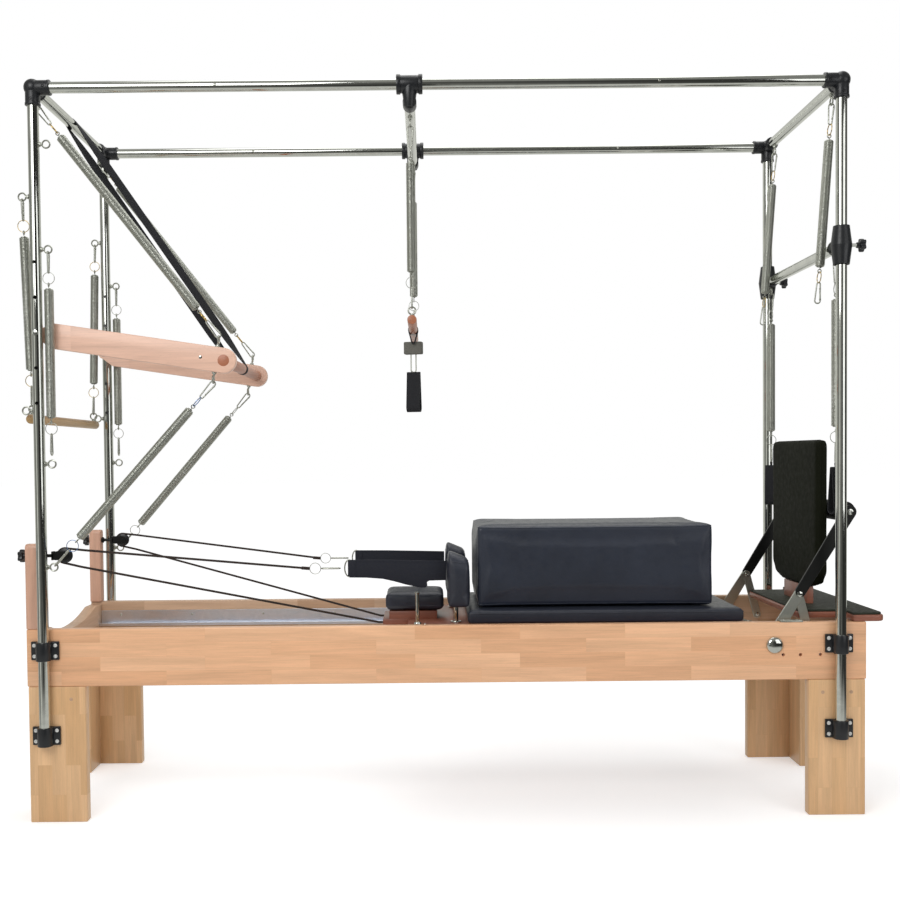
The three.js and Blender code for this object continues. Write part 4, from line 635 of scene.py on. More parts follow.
def makePosts():
    for side, s in sides.items():
        for end, e in ends.items():
            x, y = e * tube["x"], s * tube["y"]
            post = rod((x, y, tube["low"] + 5), (x, y, 2132), tube["radius"], segments=40)
            piece = addPiece(f"post_tube_{side}_{end}", post, chrome, "bed", [f"post_{side}_{end}"])
            if e < 0:
                carve(piece, *[rod((x, y - 30, z), (x, y + 30, z), 5.2, segments=20) for z in postHoles])
                stops = [rod((x, y, z), (x, y - s * 15, z), 5.1, segments=20) for z in postHoles if z != 1443]
                addPiece(f"post_hole_stops_{side}", gather(*stops), plastic, "bed")
            plug = rod((x, y, tube["low"]), (x, y, tube["low"] + 6), tube["radius"] + 0.4, edge=2)
            addPiece(f"post_plug_{side}_{end}", plug, plastic, "bed")
            eyes = [eyeBolt((x, y, z), (way, 0, 0), tube["eyeReach"], (0, 1, 0), tube["radius"]) for z, way in postEyes[end]]
            if eyes:
                addPiece(f"post_eyes_{side}_{end}", gather(*eyes), springChrome, "bed")
            for level, z in (("low", 260), ("high", 512)):
                half = clamp["width"] / 2
                high = clamp["height"] / 2
                face = s * 321.3
                earY = face + s * clamp["ear"]
                plan = [(x - half, face), (x - half, earY), (x - clamp["barrel"], earY)]
                bulge = arc((x, y), clamp["barrel"], 180, 0 if s > 0 else 360, 20)
                plan += [(a, b) for a, b in bulge if abs(b) > abs(earY)]
                plan += [(x + clamp["barrel"], earY), (x + half, earY), (x + half, face)]
                saddle = board(plan, z - high, z + high, "z", 2, 2)
                addPiece(f"clamp_{level}_{side}_{end}", saddle, fittingBlack, "bed")
                heads = [screw((x + dx * clamp["screwX"], earY, z + dz * clamp["screwZ"]), (0, s, 0), 6)
                         for dx in (-1, 1) for dz in (-1, 1)]
                addPiece(f"clamp_screws_{level}_{side}_{end}", gather(*heads), brightZinc, "bed")


def makeTop():
    for side, s in sides.items():
        long = rod((-1152, s * 340, 2150), (1152, s * 340, 2150), 16, segments=40)
        addPiece(f"long_tube_{side}", long, chrome, "bed", [f"top_tube_{side}"])
        pins = [screw((x, s * 340 - 15.8, 2150), (0, -1, 0), 4) for x in (-640, 640)]
        addPiece(f"long_tube_pins_{side}", gather(*pins), springChrome, "bed")
    for end, e in ends.items():
        x = e * 1170
        short = rod((x, -322, 2150), (x, 322, 2150), 16, segments=40)
        addPiece(f"short_tube_{end}", short, chrome, "bed", [f"top_end_{end}"])
        eyeY = 296 if e < 0 else 262
        eyes = [eyeBolt((x, s * eyeY, 2150), (0, 0, -1), 36, (1, 0, 0), 16) for s in (-1, 1)]
        if e < 0:
            eyes = [eyeBolt((x, s * eyeY, 2150), (0, 0, -1), 36, (1, 0, 0), 21.2) for s in (-1, 1)]
        addPiece(f"top_eyes_{end}", gather(*eyes), springChrome, "bed")
        parts, pins = [], []
        for s in (-1, 1):
            centre = Vector((x, s * 340, 2150))
            parts.append(ball(centre, 25))
            for way in (Vector((0, 0, -1)), Vector((-e, 0, 0)), Vector((0, -s, 0))):
                parts.append(rod(centre, centre + way * 52, 21, edge=1.2, segments=36))
                parts.append(rod(centre + way * 44, centre + way * 51, 22.2, edge=1, segments=36))
                flat = Vector((0, s, 0)) if way.y == 0 else Vector((0, 0, 1))
                pins.append(screw(centre + way * 36 + flat * 20.6, flat, 4.5))
        addPiece(f"corner_fittings_{end}", gather(*parts), fittingBlack, "bed")
        addPiece(f"corner_screws_{end}", gather(*pins), plastic, "bed")


# A five-lobed hand knob, its outer face at a point and its axis along X
knob = {"radius": 20, "lobe": 6, "thick": 15, "hub": 9, "hubLength": 8}


def starKnob(face, way):
    bm = bmesh.new()
    turn = Matrix.Rotation(math.radians(90), 4, "Y")
    bmesh.ops.create_circle(bm, cap_ends=True, radius=knob["radius"], segments=60, matrix=turn)
    for v in bm.verts:
        angle = math.atan2(v.co.z, v.co.y)
        v.co *= 1 - knob["lobe"] / knob["radius"] * (1 - math.cos(5 * angle)) / 2
    pushed = bmesh.ops.extrude_face_region(bm, geom=list(bm.faces))["geom"]
    bmesh.ops.translate(bm, vec=(knob["thick"], 0, 0), verts=[g for g in pushed if isinstance(g, bmesh.types.BMVert)])
    bmesh.ops.recalc_face_normals(bm, faces=bm.faces)
    bevelSharp(bm, 3, 3, 50)
    face = Vector(face)
    bmesh.ops.translate(bm, vec=face - Vector((knob["thick"] if way > 0 else 0, 0, 0)), verts=bm.verts)
    inner = face - Vector((way * knob["thick"], 0, 0))
    hub = rod(inner + Vector((way, 0, 0)), inner - Vector((way * knob["hubLength"], 0, 0)), knob["hub"] + 1, knob["hub"] - 1)
    cap = lathe(face - Vector((way, 0, 0)), (way, 0, 0), [(0, 2.2), (5, 2), (7, 0.8), (7, -1)], 24)
    return gather(bm, hub, cap)


def makeSliders():
    x, cross = -80, 2100
    parts = []
    for s in (-1, 1):
        at = Vector((x, s * 340, 2150))
        along = Vector((1, 0, 0))
        parts += [rod(at - along * 38, at + along * 38, 25, edge=1.5, segments=40),
                  rod(at - along * 38, at - along * 26, 28, edge=2, segments=40),
                  rod(at + along * 26, at + along * 38, 28, edge=2, segments=40),
                  rod(at, (x, s * 340, cross - 16), 25, 15, edge=1, segments=36),
                  rod((x, s * 345, cross), (x, s * 300, cross), 20, edge=1.5, segments=36)]
    addPiece("trapeze_collars", gather(*parts), fittingBlack, "top_slider", ["trapeze_slider"])
    addPiece("trapeze_cross_tube", rod((x, -330, cross), (x, 330, cross), 16, segments=40), chrome, "top_slider")
    eyes = [eyeBolt((x, s * 250, cross), (0, 0, -1), 36, (1, 0, 0), 16) for s in (-1, 1)]
    addPiece("trapeze_slider_eyes", gather(*eyes), springChrome, "top_slider")

    z = 1675
    parts, bolts = [], []
    for s in (-1, 1):
        at = Vector((1170, s * 340, z))
        up = Vector((0, 0, 1))
        parts += [rod(at - up * 56, at + up * 56, 23, edge=2, segments=40),
                  rod(at - up * 56, at, 23, 30, segments=40), rod(at, at + up * 56, 30, 23, segments=40),
                  rod(at, at - Vector((0, s * 50, 0)), 23, edge=2, segments=36),
                  starKnob((1170 + 30 + 14 + 23, s * 340, z), 1)]
        bolts.append(rod((1186, s * 340, z), (1218, s * 340, z), 5, segments=20))
    addPiece("height_clamps", gather(*parts), fittingBlack, "post_slider", ["height_slider"])
    tubeAndBolts = gather(rod((1170, -320, z), (1170, 320, z), 16, segments=40), *bolts)
    addPiece("height_cross_tube", tubeAndBolts, chrome, "post_slider")
    eyes = [eyeBolt((1170, s * 300, z), (0, 0, -1), 36, (1, 0, 0), 16) for s in (-1, 1)]
    addPiece("height_slider_eyes", gather(*eyes), springChrome, "post_slider")


def makePulleys():
    for side, s in sides.items():
        y, z = s * 301, 790.3
        cheeks = []
        for low in (-9.3, 6.3):
            outline = roundedOutline((-1150, z - 13), (-1102, z + 13), 10.4, 8)
            cheeks.append(board(outline, y + low, y + low + 3, "y", 0.6, 1))
        parts = [rod((-1235.3, y, z), (-1150, y, z), 5, segments=20), nut((-1188.7, y, z), (1, 0, 0), 10, 8),
                 block((-1153, y - 9.3, z - 13), (-1146, y + 9.3, z + 13), 0.8), *cheeks,
                 rod((-1115, y - 10.5, z), (-1115, y + 10.5, z), 4, edge=0.6, segments=20)]
        addPiece(f"pulley_fork_{side}", gather(*parts), armBlack, "bed", [f"pulley_block_{side}"])
        addPiece(f"pulley_knob_{side}", starKnob((-1250.3, y, z), -1), plastic, "bed")
        rim = [(4.3, -6), (20.5, -6), (22, -5), (21.4, -4.2), (18.6, -3), (18, 0), (18.6, 3), (21.4, 4.2), (22, 5), (20.5, 6),
               (4.3, 6), (4.3, -6)]
        addPiece(f"pulley_wheel_{side}", lathe((-1115, y, z), (0, 1, 0), rim, 44), plastic, f"sheave_{side}",
                 [f"pulley_sheave_{side}"])


makePosts()
makeTop()
makeSliders()
makePulleys()
print("tube frame made")

# Springs: a close coil with a looped end in a split ring, and a snap hook at each end
spring = {"radius": 14, "wire": 3.2, "pitch": 3.35, "endReach": 103, "hookTop": 5, "hookLength": 62, "hookHalf": 8,
          "hookWire": 2.2, "ringRadius": 17, "perTurn": 12}


# One end, hanging below the origin: the coil's neck, and then its hook and ring as separate shapes
def springEnd(face):
    flat = (lambda u, w: Vector((u, 0, w))) if face == "y" else (lambda u, w: Vector((0, u, w)))
    loop = []
    for i in range(19):
        angle = math.radians(-60 - 330 * i / 18)
        loop.append(flat(5.2 * math.cos(angle), -90.8 + 5.2 * math.sin(angle)))
    half, top, low = spring["hookHalf"], spring["hookTop"], spring["hookTop"] - spring["hookLength"]
    oval = []
    for i in range(13):
        angle = math.pi * i / 12
        oval.append(flat(half * math.cos(angle), top - half + half * math.sin(angle)))
    narrow = half * 0.62
    for i in range(13):
        angle = math.pi + math.pi * i / 12
        oval.append(flat(narrow * math.cos(angle), low + narrow + narrow * math.sin(angle)))
    hook = wire(oval, spring["hookWire"], closed=True)
    gateTop, gateLow = flat(half - 0.3, top - half - 3), flat(narrow + 0.3, low + narrow + 13)
    gate = [rod(gateTop, gateLow, 2.7, 2.4, segments=12), ball(gateTop, 3.1), ball(gateLow, 3.0)]
    across = Vector((1, 0, 0)) if face == "y" else Vector((0, 1, 0))
    around = Vector((0, 1, 0)) if face == "y" else Vector((1, 0, 0))
    twice = []
    for i in range(57):
        angle = 2 * math.pi * i / 28
        drift = -0.95 + 1.9 * i / 56
        twice.append(Vector((0, 0, -72.3)) + around * spring["ringRadius"] * math.sin(angle)
                     + Vector((0, 0, spring["ringRadius"] * math.cos(angle))) + across * drift)
    return loop, gather(hook, *gate), wire(twice, 0.95)


def makeSpring(name, start, end, faces, body, node, ringFinish=None, blend=None):
    start, end = Vector(start), Vector(end)
    total = (start - end).length
    up = (start - end).normalized()
    right = Vector((0, 1, 0)).cross(up).normalized()
    stand = Matrix((right, up.cross(right), up)).transposed().to_4x4()
    stand.translation = start
    topLoop, topHook, topRing = springEnd(faces[0])
    lowLoop, lowHook, lowRing = springEnd(faces[1])
    flip = Matrix.Translation((0, 0, -total)) @ Matrix.Rotation(math.pi, 4, "X")
    for part in (lowHook, lowRing):
        part.transform(flip)
    # The coil, drawn in over a turn and a half at each end
    coilRadius = spring["radius"] - spring["wire"] / 2
    bodyTop, bodyLow = -spring["endReach"] + 1, -(total - spring["endReach"]) - 1
    turns = round((bodyTop - bodyLow) / spring["pitch"])
    steps = turns * spring["perTurn"]
    coil = []
    for i in range(steps + 1):
        turned = i / spring["perTurn"]
        drawn = min(turned, turns - turned) / 1.5
        radius = 3 + (coilRadius - 3) * min(1, drawn) ** 0.6
        angle = 2 * math.pi * turned
        coil.append(Vector((radius * math.cos(angle), radius * math.sin(angle), bodyTop + (bodyLow - bodyTop) * i / steps)))
    path = [*topLoop, Vector((0, 0, -97.5)), Vector((0.8, 0, -100)), *coil]
    path += [flip @ p for p in (Vector((0.8, 0, -100)), Vector((0, 0, -97.5)), *reversed(lowLoop))]
    whole = gather(wire(path, spring["wire"] / 2, resolution=1), topHook, lowHook)
    rings = gather(topRing, lowRing)
    whole.transform(stand)
    rings.transform(stand)
    addPiece(name, whole, springChrome, body, [node], smooth=60, blend=blend, merge=0)
    addPiece(f"{name}_rings", rings, ringFinish or springChrome, body, smooth=60, blend=blend, merge=0)


pushBar = {"pivot": (-1170, 1443), "tip": (-634, 1361), "height": 74, "thick": 24, "armY": 306, "dowel": 17, "nose": 17,
           "flare": 36, "eyeBack": 24, "eyeOut": 22}


def makePushBar():
    pivot, tip = Vector((pushBar["pivot"][0], 0, pushBar["pivot"][1])), Vector((pushBar["tip"][0], 0, pushBar["tip"][1]))
    reach = (tip - pivot).length
    droop = math.atan2(pivot.z - tip.z, tip.x - pivot.x)
    half = pushBar["height"] / 2
    place = Matrix.Translation(pivot) @ Matrix.Rotation(droop, 4, "Y")
    direction = Vector((math.cos(droop), 0, -math.sin(droop)))
    up = Vector((math.sin(droop), 0, math.cos(droop)))
    arms, bolts, eyes = [], [], []
    for s in (-1, 1):
        low, high = s * pushBar["armY"] - 12, s * pushBar["armY"] + 12
        outline = [*arc((0, 0), pushBar["nose"], 90, 270, 12), (pushBar["flare"], -half),
                   *arc((reach, 0), half, -90, 90, 20), (pushBar["flare"], half)]
        arms.append(board(outline, low, high, "y", 3, 3))
        bolts += [rod((0, s * 317, 0), (0, s * 356.3, 0), 5, segments=20), nut((0, s * 356.3, 0), (0, s, 0), 9, 6),
                  rod((0, s * 290, 0), (0, s * 294.5, 0), 9, edge=1, segments=24),
                  lathe((reach - 68, s * 318, 0), (0, s, 0), [(0, 0.6), (4, 0.5), (5, 0), (5, -1)], 20)]
        onArm = pivot + direction * (reach - pushBar["eyeBack"]) + Vector((0, s * pushBar["armY"], 0))
        eyes += [eyeBolt(onArm + up * (half - 8), up, 8 + pushBar["eyeOut"], (1, 0, 0), 8),
                 eyeBolt(onArm - up * (half - 8), -up, 8 + pushBar["eyeOut"], (1, 0, 0), 8)]
    dowel = rod((reach, -294, 0), (reach, 294, 0), pushBar["dowel"], edge=1, segments=40)
    ends = [rod((reach, s * 317.5, 0), (reach, s * 318.4, 0), pushBar["dowel"], edge=0.5, segments=40) for s in (-1, 1)]
    wooden, metal, dowels = gather(*arms), gather(*bolts), gather(dowel, *ends)
    for part in (wooden, metal, dowels):
        part.transform(place)
    addPiece("push_arms", wooden, armWood, "push_bar", ["push_through_bar"])
    addPiece("push_dowel", dowels, trapezeWood, "push_bar")
    addPiece("push_bolts", metal, chrome, "push_bar")
    addPiece("push_eyes", gather(*eyes), springChrome, "push_bar")

    out = half + pushBar["eyeOut"]
    for side, s in sides.items():
        onArm = pivot + direction * (reach - pushBar["eyeBack"]) + Vector((0, s * pushBar["armY"], 0))
        armTop = onArm + up * out + Vector((0, 0, 11))
        armUnder = onArm - up * out - Vector((0, 0, 11))
        topEye = Vector((-1170, s * 296, 2103))
        lowEye = Vector((-1134, s * 340, 760))
        lowHang = lowEye + (armUnder - lowEye).normalized() * 11 * math.cos(math.pi / 6)
        bend = ("bed", "push_bar")
        makeSpring(f"push_spring_{side}", topEye, armTop, "yy", None, f"spring_push_upper_{side}", brass,
                   (*bend, topEye, armTop))
        makeSpring(f"lower_push_spring_{side}", armUnder, lowHang, "yx", None, f"spring_push_lower_{side}",
                   blueSteel if s < 0 else None, (*bend, lowHang, armUnder))
    strap = twisted(band(beltPath((-1170, 2150), pushBar["tip"], 17, 18, 20), 25, 2.6), (-1170, 2150), pushBar["tip"], 17.5)
    addPiece("safety_band", strap, webbing, None, ["safety_strap"], smooth=50,
             blend=("bed", "push_bar", (-1170, 0, 2130), (-634, 0, 1361)))


# Turns the two strands of a band round their own middles, most of all halfway along
def twisted(bm, start, end, reach):
    start, end = Vector((start[0], 0, start[1])), Vector((end[0], 0, end[1]))
    way = end - start
    along = way.normalized()
    out = along.cross(Vector((0, 1, 0)))
    long = [e for e in bm.edges if e.calc_length() > 200]
    bmesh.ops.subdivide_edges(bm, edges=long, cuts=24, use_grid_fill=True)
    for v in bm.verts:
        share = (v.co - start).dot(along) / way.length
        if 0 < share < 1:
            strand = start + along * share * way.length + out * math.copysign(reach, (v.co - start).dot(out))
            turn = math.radians(58) * min(1, math.sin(math.pi * share) * 2.2)
            v.co = strand + Matrix.Rotation(turn, 3, along) @ (v.co - strand)
    return bm


def makeHangingSets():
    for name, x, z, length, eyeY, radius, body, finish, top in (
        ("roll_down", -1206, 1195, 620, 290, 14, "roll_down", dowelWood, None),
        ("trapeze", -80, 1480, 560, 250, 14, "trapeze", trapezeWood, None),
    ):
        bar = lathe((x, -length / 2, z), (0, 1, 0), [(0, 0), (radius - 3, 0), (radius - 0.8, 0.8), (radius, 3),
                                                   (radius, length - 3), (radius - 0.8, length - 0.8), (radius - 3, length),
                                                   (0, length)], 40)
        addPiece(f"{name}_dowel", bar, finish, body, [f"{name}_bar"])
        eyes = [eyeBolt((x, s * eyeY, z + 6), (0, 0, 1), radius + 10, (0, 1, 0), radius - 6.5) for s in (-1, 1)]
        addPiece(f"{name}_eyes", gather(*eyes), springChrome, body)
    for side, s in sides.items():
        makeSpring(f"roll_down_spring_{side}", (-1206, s * 340, 1826), (-1206, s * 290, 1236), "xx", "roll_down",
                   f"spring_roll_down_{side}", brass)
        makeSpring(f"free_spring_{side}", (-1134, s * 340, 1674), (-1134, s * 340, 1093), "xx", f"free_{side}",
                   f"spring_free_{side}")
        makeSpring(f"trapeze_spring_{side}", (-80, s * 250, 2053), (-80, s * 250, 1521), "yx", "trapeze",
                   f"spring_trapeze_{side}")
        lean = math.asin((16 + 14 + 0.6) / (2103 - 1675))
        foot = (1170 - 581 * math.sin(lean), s * 262, 2103 - 581 * math.cos(lean))
        makeSpring(f"right_top_spring_{side}", (1170, s * 262, 2103), foot, "yy", f"top_right_{side}",
                   f"spring_top_right_{side}", brass)
        makeSpring(f"right_low_spring_{side}", (1170, s * 300, 1628), (1170, s * 300, 1047), "yx", f"low_right_{side}",
                   f"spring_low_right_{side}")


makePushBar()
makeHangingSets()
print("springs and bars made")


def makeSling():
    x, z = -80, 1480
    loopLow = z - 14.8 - 26
    loop = band(beltPath((x, z), (x, loopLow), 16.5, 5.5, 14), 44, 3.4)
    pad = block((x - 12, -30, loopLow - 36), (x + 12, 30, loopLow + 4), 4, 3)
    cuffTop = loopLow - 34 - 62 + 4.4
    middle = loopLow - 34 - 31 + 2.2
    cuff = band(beltPath((x, cuffTop - 5), (x, cuffTop - 133 + 18), 4, 15.5, 16), 44, 4.4)
    link = wire([(x + 8 * math.cos(t), 0, middle + math.copysign(23, math.sin(t)) + 8 * math.sin(t))
                 for t in [math.pi * 2 * (i + 0.5) / 24 for i in range(24)]], 2.2, closed=True)
    twist = Matrix.Translation((x, 0, 0)) @ Matrix.Rotation(math.radians(76), 4, "Z") @ Matrix.Translation((-x, 0, 0))
    pad.transform(twist)
    cuff.transform(twist)
    addPiece("sling_loop_band", loop, webbing, "sling_loop", ["sling"], smooth=50)
    addPiece("sling_grey_pad", pad, greyWebbing, "sling_loop")
    addPiece("sling_cuff_band", cuff, webbing, "sling_loop", smooth=50)
    addPiece("sling_link", link, springChrome, "sling_loop")


def makeFootStraps():
    for side, s in sides.items():
        y, top = s * 300, 1037
        loop = band(beltPath((1170, top + 4), (1170, top - 8), 4, 3, 8), 5, 1.8, y)
        wide = band(beltPath((1170, top - 10), (1170, 1047 - 159 + 18), 4.5, 14, 16), 40, 3.2, y)
        wide.transform(Matrix.Translation((1170, y, 0)) @ Matrix.Rotation(math.radians(s * 64), 4, "Z")
                       @ Matrix.Translation((-1170, -y, 0)))
        addPiece(f"foot_band_{side}", gather(loop, wide), webbing, f"low_right_{side}", [f"foot_strap_{side}"],
                 smooth=50)


makeSling()
makeFootStraps()
print("straps made")

# Footbar
foot = {"pivot": (982, 507), "bar": (1222, 896), "armY": 270, "armHalf": 19, "armThick": 8, "strutAt": 170,
        "strutFoot": (1108, 512)}


def makeFootbar():
    pivot, bar = Vector((982, 0, 507)), Vector((1222, 0, 896))
    way = (bar - pivot).normalized()
    grip = [(0, 0), (24, 0), (29, 2), (30, 6), (30, 482), (29, 486), (24, 488), (0, 488)]
    addPiece("foot_grip", lathe((1222, -244, 896), (0, 1, 0), grip, 48), rubber, "foot_bar")
    dark, steel, bright = [], [], []
    for s in (-1, 1):
        y0, y1 = sorted((s * 266, s * 274))
        split = pivot + way * 178
        dark.append(board(beltPath((split.x, split.z), (1222, 896), 16, 20, 16), y0, y1, "y", 0.8, 1))
        steel.append(board(beltPath((982, 507), ((pivot + way * 196).x, (pivot + way * 196).z), 19, 14, 16),
                           y0 + 0.8, y1 - 0.8, "y", 0.8, 1))
        strutTop = pivot + way * foot["strutAt"]
        low, high = sorted((s * 260, s * 266.3))
        steel.append(board(beltPath((strutTop.x, strutTop.z), foot["strutFoot"], 13, 13, 12), low, high, "y", 0.8, 1))
        bright += [nut((strutTop.x, s * 274, strutTop.z), (0, s, 0), 9, 5), screw((1222, s * 274, 896), (0, s, 0), 11),
                   lathe((982, s * 321.3, 507), (0, s, 0), [(25.5, 0), (24.8, 3), (22, 6.8), (17, 9.6), (10, 11.4), (0, 12)], 44),
                   rod((982, s * 270, 507), (982, s * 322, 507), 8, segments=28),
                   rod((982, s * 274, 507), (982, s * 288.5, 507), 14, edge=1, segments=32),
                   rod((1222, s * 240, 896), (1222, s * 268, 896), 12, segments=28)]
        for x, z in ((strutTop.x, strutTop.z), foot["strutFoot"]):
            bright.append(screw((x, s * 260, z), (0, -s, 0), 7))
    addPiece("foot_arms", gather(*dark), armBlack, "foot_bar", ["footbar"])
    addPiece("foot_lower_arms", gather(*steel), springChrome, "foot_bar")
    addPiece("foot_bright_parts", gather(*bright), chrome, "foot_bar")


# Carriage
def makeCarriage():
    boards = [block((-104, -240, 536), (930, 240, 560), 2), block((-184, -90, 536), (-100, 90, 560), 2),
              block((-164, -90, 559), (-12, 90, 584.7), 2)]
    addPiece("carriage_board", gather(*boards), redWood, "carriage", ["carriage_frame"])
    metal, wheels = [], []
    for s in (-1, 1):
        for x in (6, 820):
            metal += [block((x - 18, s * 220, 511), (x + 18, s * 240, 537), 1.5),
                      rod((x, s * 236, 516.3), (x, s * 290 * 0.96, 516.3), 5, segments=20)]
            tyre = [(5, -8), (16, -8), (18, -6), (18, 6), (16, 8), (5, 8)]
            wheels.append(lathe((x, s * 276.4, 516.3), (0, 1, 0), tyre, 36))
    addPiece("carriage_hangers", gather(*metal), fittingBlack, "carriage")
    addPiece("carriage_wheels", gather(*wheels), plastic, "carriage")
    pegs, plates = [], []
    for s in (-1, 1):
        profile = [(0, 0), (12, 0), (12, 3), (10.5, 7), (7, 8), (6, 9), (6, 94), (7.6, 96), (7.6, 99), (5.5, 101.6), (0, 102)]
        pegs.append(lathe((-73, s * 206, 560), (0, 0, 1), profile, 28))
        plates.append(screw((-50, s * 206, 560.2), (0, 0, 1), 5))
    addPiece("rope_pegs", gather(*pegs, *plates), chrome, "carriage")
    stems = [rod((45, s * 168, 560.3), (45, s * 168, 620), 8, segments=24) for s in (-1, 1)]
    feet = [rod((45, s * 168, 560.3), (45, s * 168, 565), 17, edge=1.2, segments=32) for s in (-1, 1)]
    addPiece("rest_stems", gather(*stems, *feet), chrome, "carriage")


# The carriage springs, from their plate under the board to the rod across the foot end
def makeUnderSprings():
    plate = block((480, -150, 495.7), (492, 150, 535.7), 1.5)
    coils = [plate]
    for y in (-120, -40, 40, 120):
        path, length, turns = [], 524, 96
        for i in range(turns * 10 + 1):
            turned = i / 10
            drawn = min(turned, turns - turned) / 3
            radius = 3 + 7.6 * min(1, drawn) ** 0.7
            angle = 2 * math.pi * turned
            path.append((498 + length * i / (turns * 10), y + radius * math.cos(angle), 500 + radius * math.sin(angle)))
        path = [(488, y, 500), (495, y, 500), *path]
        coils.append(wire(path, 1.4, resolution=1))
        coils.append(ring((1040, y, 500), (0, 1, 0), 11.5, 1.6))
        coils.append(rod((1021, y, 500), (1030, y, 500), 2, segments=12))
    addPiece("under_springs", gather(*coils), springChrome, None, ["carriage_springs"], smooth=60, merge=0,
             blend=("bed", "carriage", (1020, 0, 500), (492, 0, 500)))


# Ropes, from a ring by the shoulder straps over the pulleys to the carriage
rope = {"radius": 3.4, "ringX": -388, "z": 731, "strapX": -283}


def makeRopes():
    for side, s in sides.items():
        y, z, wrap = s * 301, 790.3, 21.8
        strapY = s * 168
        start, anchor = Vector((-405, strapY, 731)), Vector((-184.3, s * 70, 548))
        slopeUp = math.atan2(z + wrap - start.z, start.x + 1115)
        slopeDown = math.atan2(z - wrap - anchor.z, anchor.x + 1115)
        onWheel = lambda t: Vector((-1115 + wrap * math.cos(t), y, z + wrap * math.sin(t)))
        first, last = math.pi / 2 - slopeUp, 1.5 * math.pi - slopeDown
        upper, lower = onWheel(first), onWheel(last)
        upperExit = upper + Vector((55 * math.cos(slopeUp), 0, -55 * math.sin(slopeUp)))
        lowerExit = lower + Vector((55 * math.cos(slopeDown), 0, -55 * math.sin(slopeDown)))
        path = [start.lerp(upperExit, i / 24) for i in range(25)]
        path += [onWheel(first + (last - first) * i / 20) for i in range(21)]
        back = anchor + Vector((-14, 0, 0))
        path += [lowerExit.lerp(back, i / 24) for i in range(25)] + [anchor]
        line = wire(path, rope["radius"])
        loopEnd = [rod((-430, strapY + 0, 733.1), (-406, strapY, 731.2), 5, segments=20)]
        addPiece(f"rope_line_{side}", gather(line, *loopEnd), ropeBraid, None, smooth=60, merge=0,
                 blend=("bed", "carriage", (-1060, 0, 731), (-470, 0, 731)))
        twice = []
        for i in range(57):
            angle = 2 * math.pi * i / 28
            twice.append(Vector((-388 + 17 * math.cos(angle), strapY - 0.95 + 1.9 * i / 56, 731 + 17 * math.sin(angle))))
        oval = [(-340 + math.copysign(20, math.cos(t)) + 9 * math.cos(t), strapY + 9 * math.sin(t), 731)
                for t in [math.pi * 2 * (i + 0.5) / 24 for i in range(24)]]
        dRing = [(-283 + (9 if abs(w) < 22 else 5), strapY, 731 + w) for w in (-24, -20, -10, 0, 10, 20, 24)]
        dRing += [(-283 - 14 * math.cos(t), strapY, 731 + 26 * math.sin(t)) for t in
                  [math.pi / 2 - math.pi * i / 14 for i in range(15)]]
        metal = gather(wire(twice, 0.95), wire(oval, 2.1, closed=True), wire(dRing, 2.2, closed=True))
        addPiece(f"rope_hook_{side}", metal, springChrome, "carriage", smooth=60)
        makeShoulderStrap(side, strapY)


def makeShoulderStrap(side, y):
    lower = [(-283, 702), (-230, 701), (-180, 697), (-145, 689), (-110, 679), (-80, 672), (-62, 668.5), (-48, 669),
             (-42, 674), (-43, 686), (-36, 690), (15.7, 691)]
    upper = [(15.7, 751), (-60, 753), (-180, 756), (-283, 757)]
    sheet = board([*lower, *upper], y - 2.2, y + 2.2, "y", 1.2, 2)
    hems = [wire([(x, y + t * 2.3, z + lift) for x, z in run], 0.55, resolution=1)
            for t in (-1, 1) for run, lift in ((upper, -5), ([p for p in lower if p[0] < -60], 5))]
    loop = block((-287, y - 3.6, 706), (-262, y + 3.6, 755), 1.6)
    addPiece(f"shoulder_strap_{side}", gather(sheet, loop, *hems), strapWebbing, "carriage", [f"rope_{side}"],
             smooth=40)


makeFootbar()
makeCarriage()
makeUnderSprings()
makeRopes()
print("carriage and ropes made")


# Cushions: a soft case filled by a short cloth simulation, then its seams
def cushion(name, low, high, finish, body, node, voxel, swell, start, round=10, shape=None, pressure=4, bolt=None):
    bm = shape or block(Vector(low) + Vector((start,) * 3), Vector(high) - Vector((start,) * 3), round, 3)
    bmesh.ops.recalc_face_normals(bm, faces=bm.faces)
    bm.transform(toFrame)
    mesh = bpy.data.meshes.new(name)
    bm.to_mesh(mesh)
    bm.free()
    piece = bpy.data.objects.new(name, mesh)
    scene.collection.objects.link(piece)
    remesh = piece.modifiers.new("remesh", "REMESH")
    remesh.mode = "VOXEL"
    remesh.voxel_size = voxel / 1000
    applyModifiers(piece)
    rest = [v.co.copy() for v in piece.data.vertices]
    cloth = piece.modifiers.new("filling", "CLOTH")
    cloth.settings.use_pressure = True
    cloth.settings.uniform_pressure_force = pressure
    cloth.settings.effector_weights.gravity = 0
    cloth.settings.quality = 4
    cloth.settings.tension_stiffness = cloth.settings.compression_stiffness = 12
    for number in range(1, 21):
        scene.frame_set(number)
    applyModifiers(piece)
    scene.frame_set(1)
    floor = toFrame @ Vector((0, 0, low[2] + 0.2))
    limit = swell / 1000
    for v, was in zip(piece.data.vertices, rest):
        move = v.co - was
        v.co = was + move * limit / (limit + move.length)
        v.co.z = max(v.co.z, floor.z)
    lowest, highest = spot(*low), spot(*high)
    for v in piece.data.vertices:
        v.co = [min(max(c, a), b) for c, a, b in zip(v.co, lowest, highest)]
    smoother = piece.modifiers.new("soften", "SUBSURF")
    smoother.levels = smoother.render_levels = 1
    applyModifiers(piece)
    piece.data.shade_smooth()
    piece.data.materials.clear()
    piece.data.materials.append(finish)
    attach(piece, body)
    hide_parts(node)
    return piece


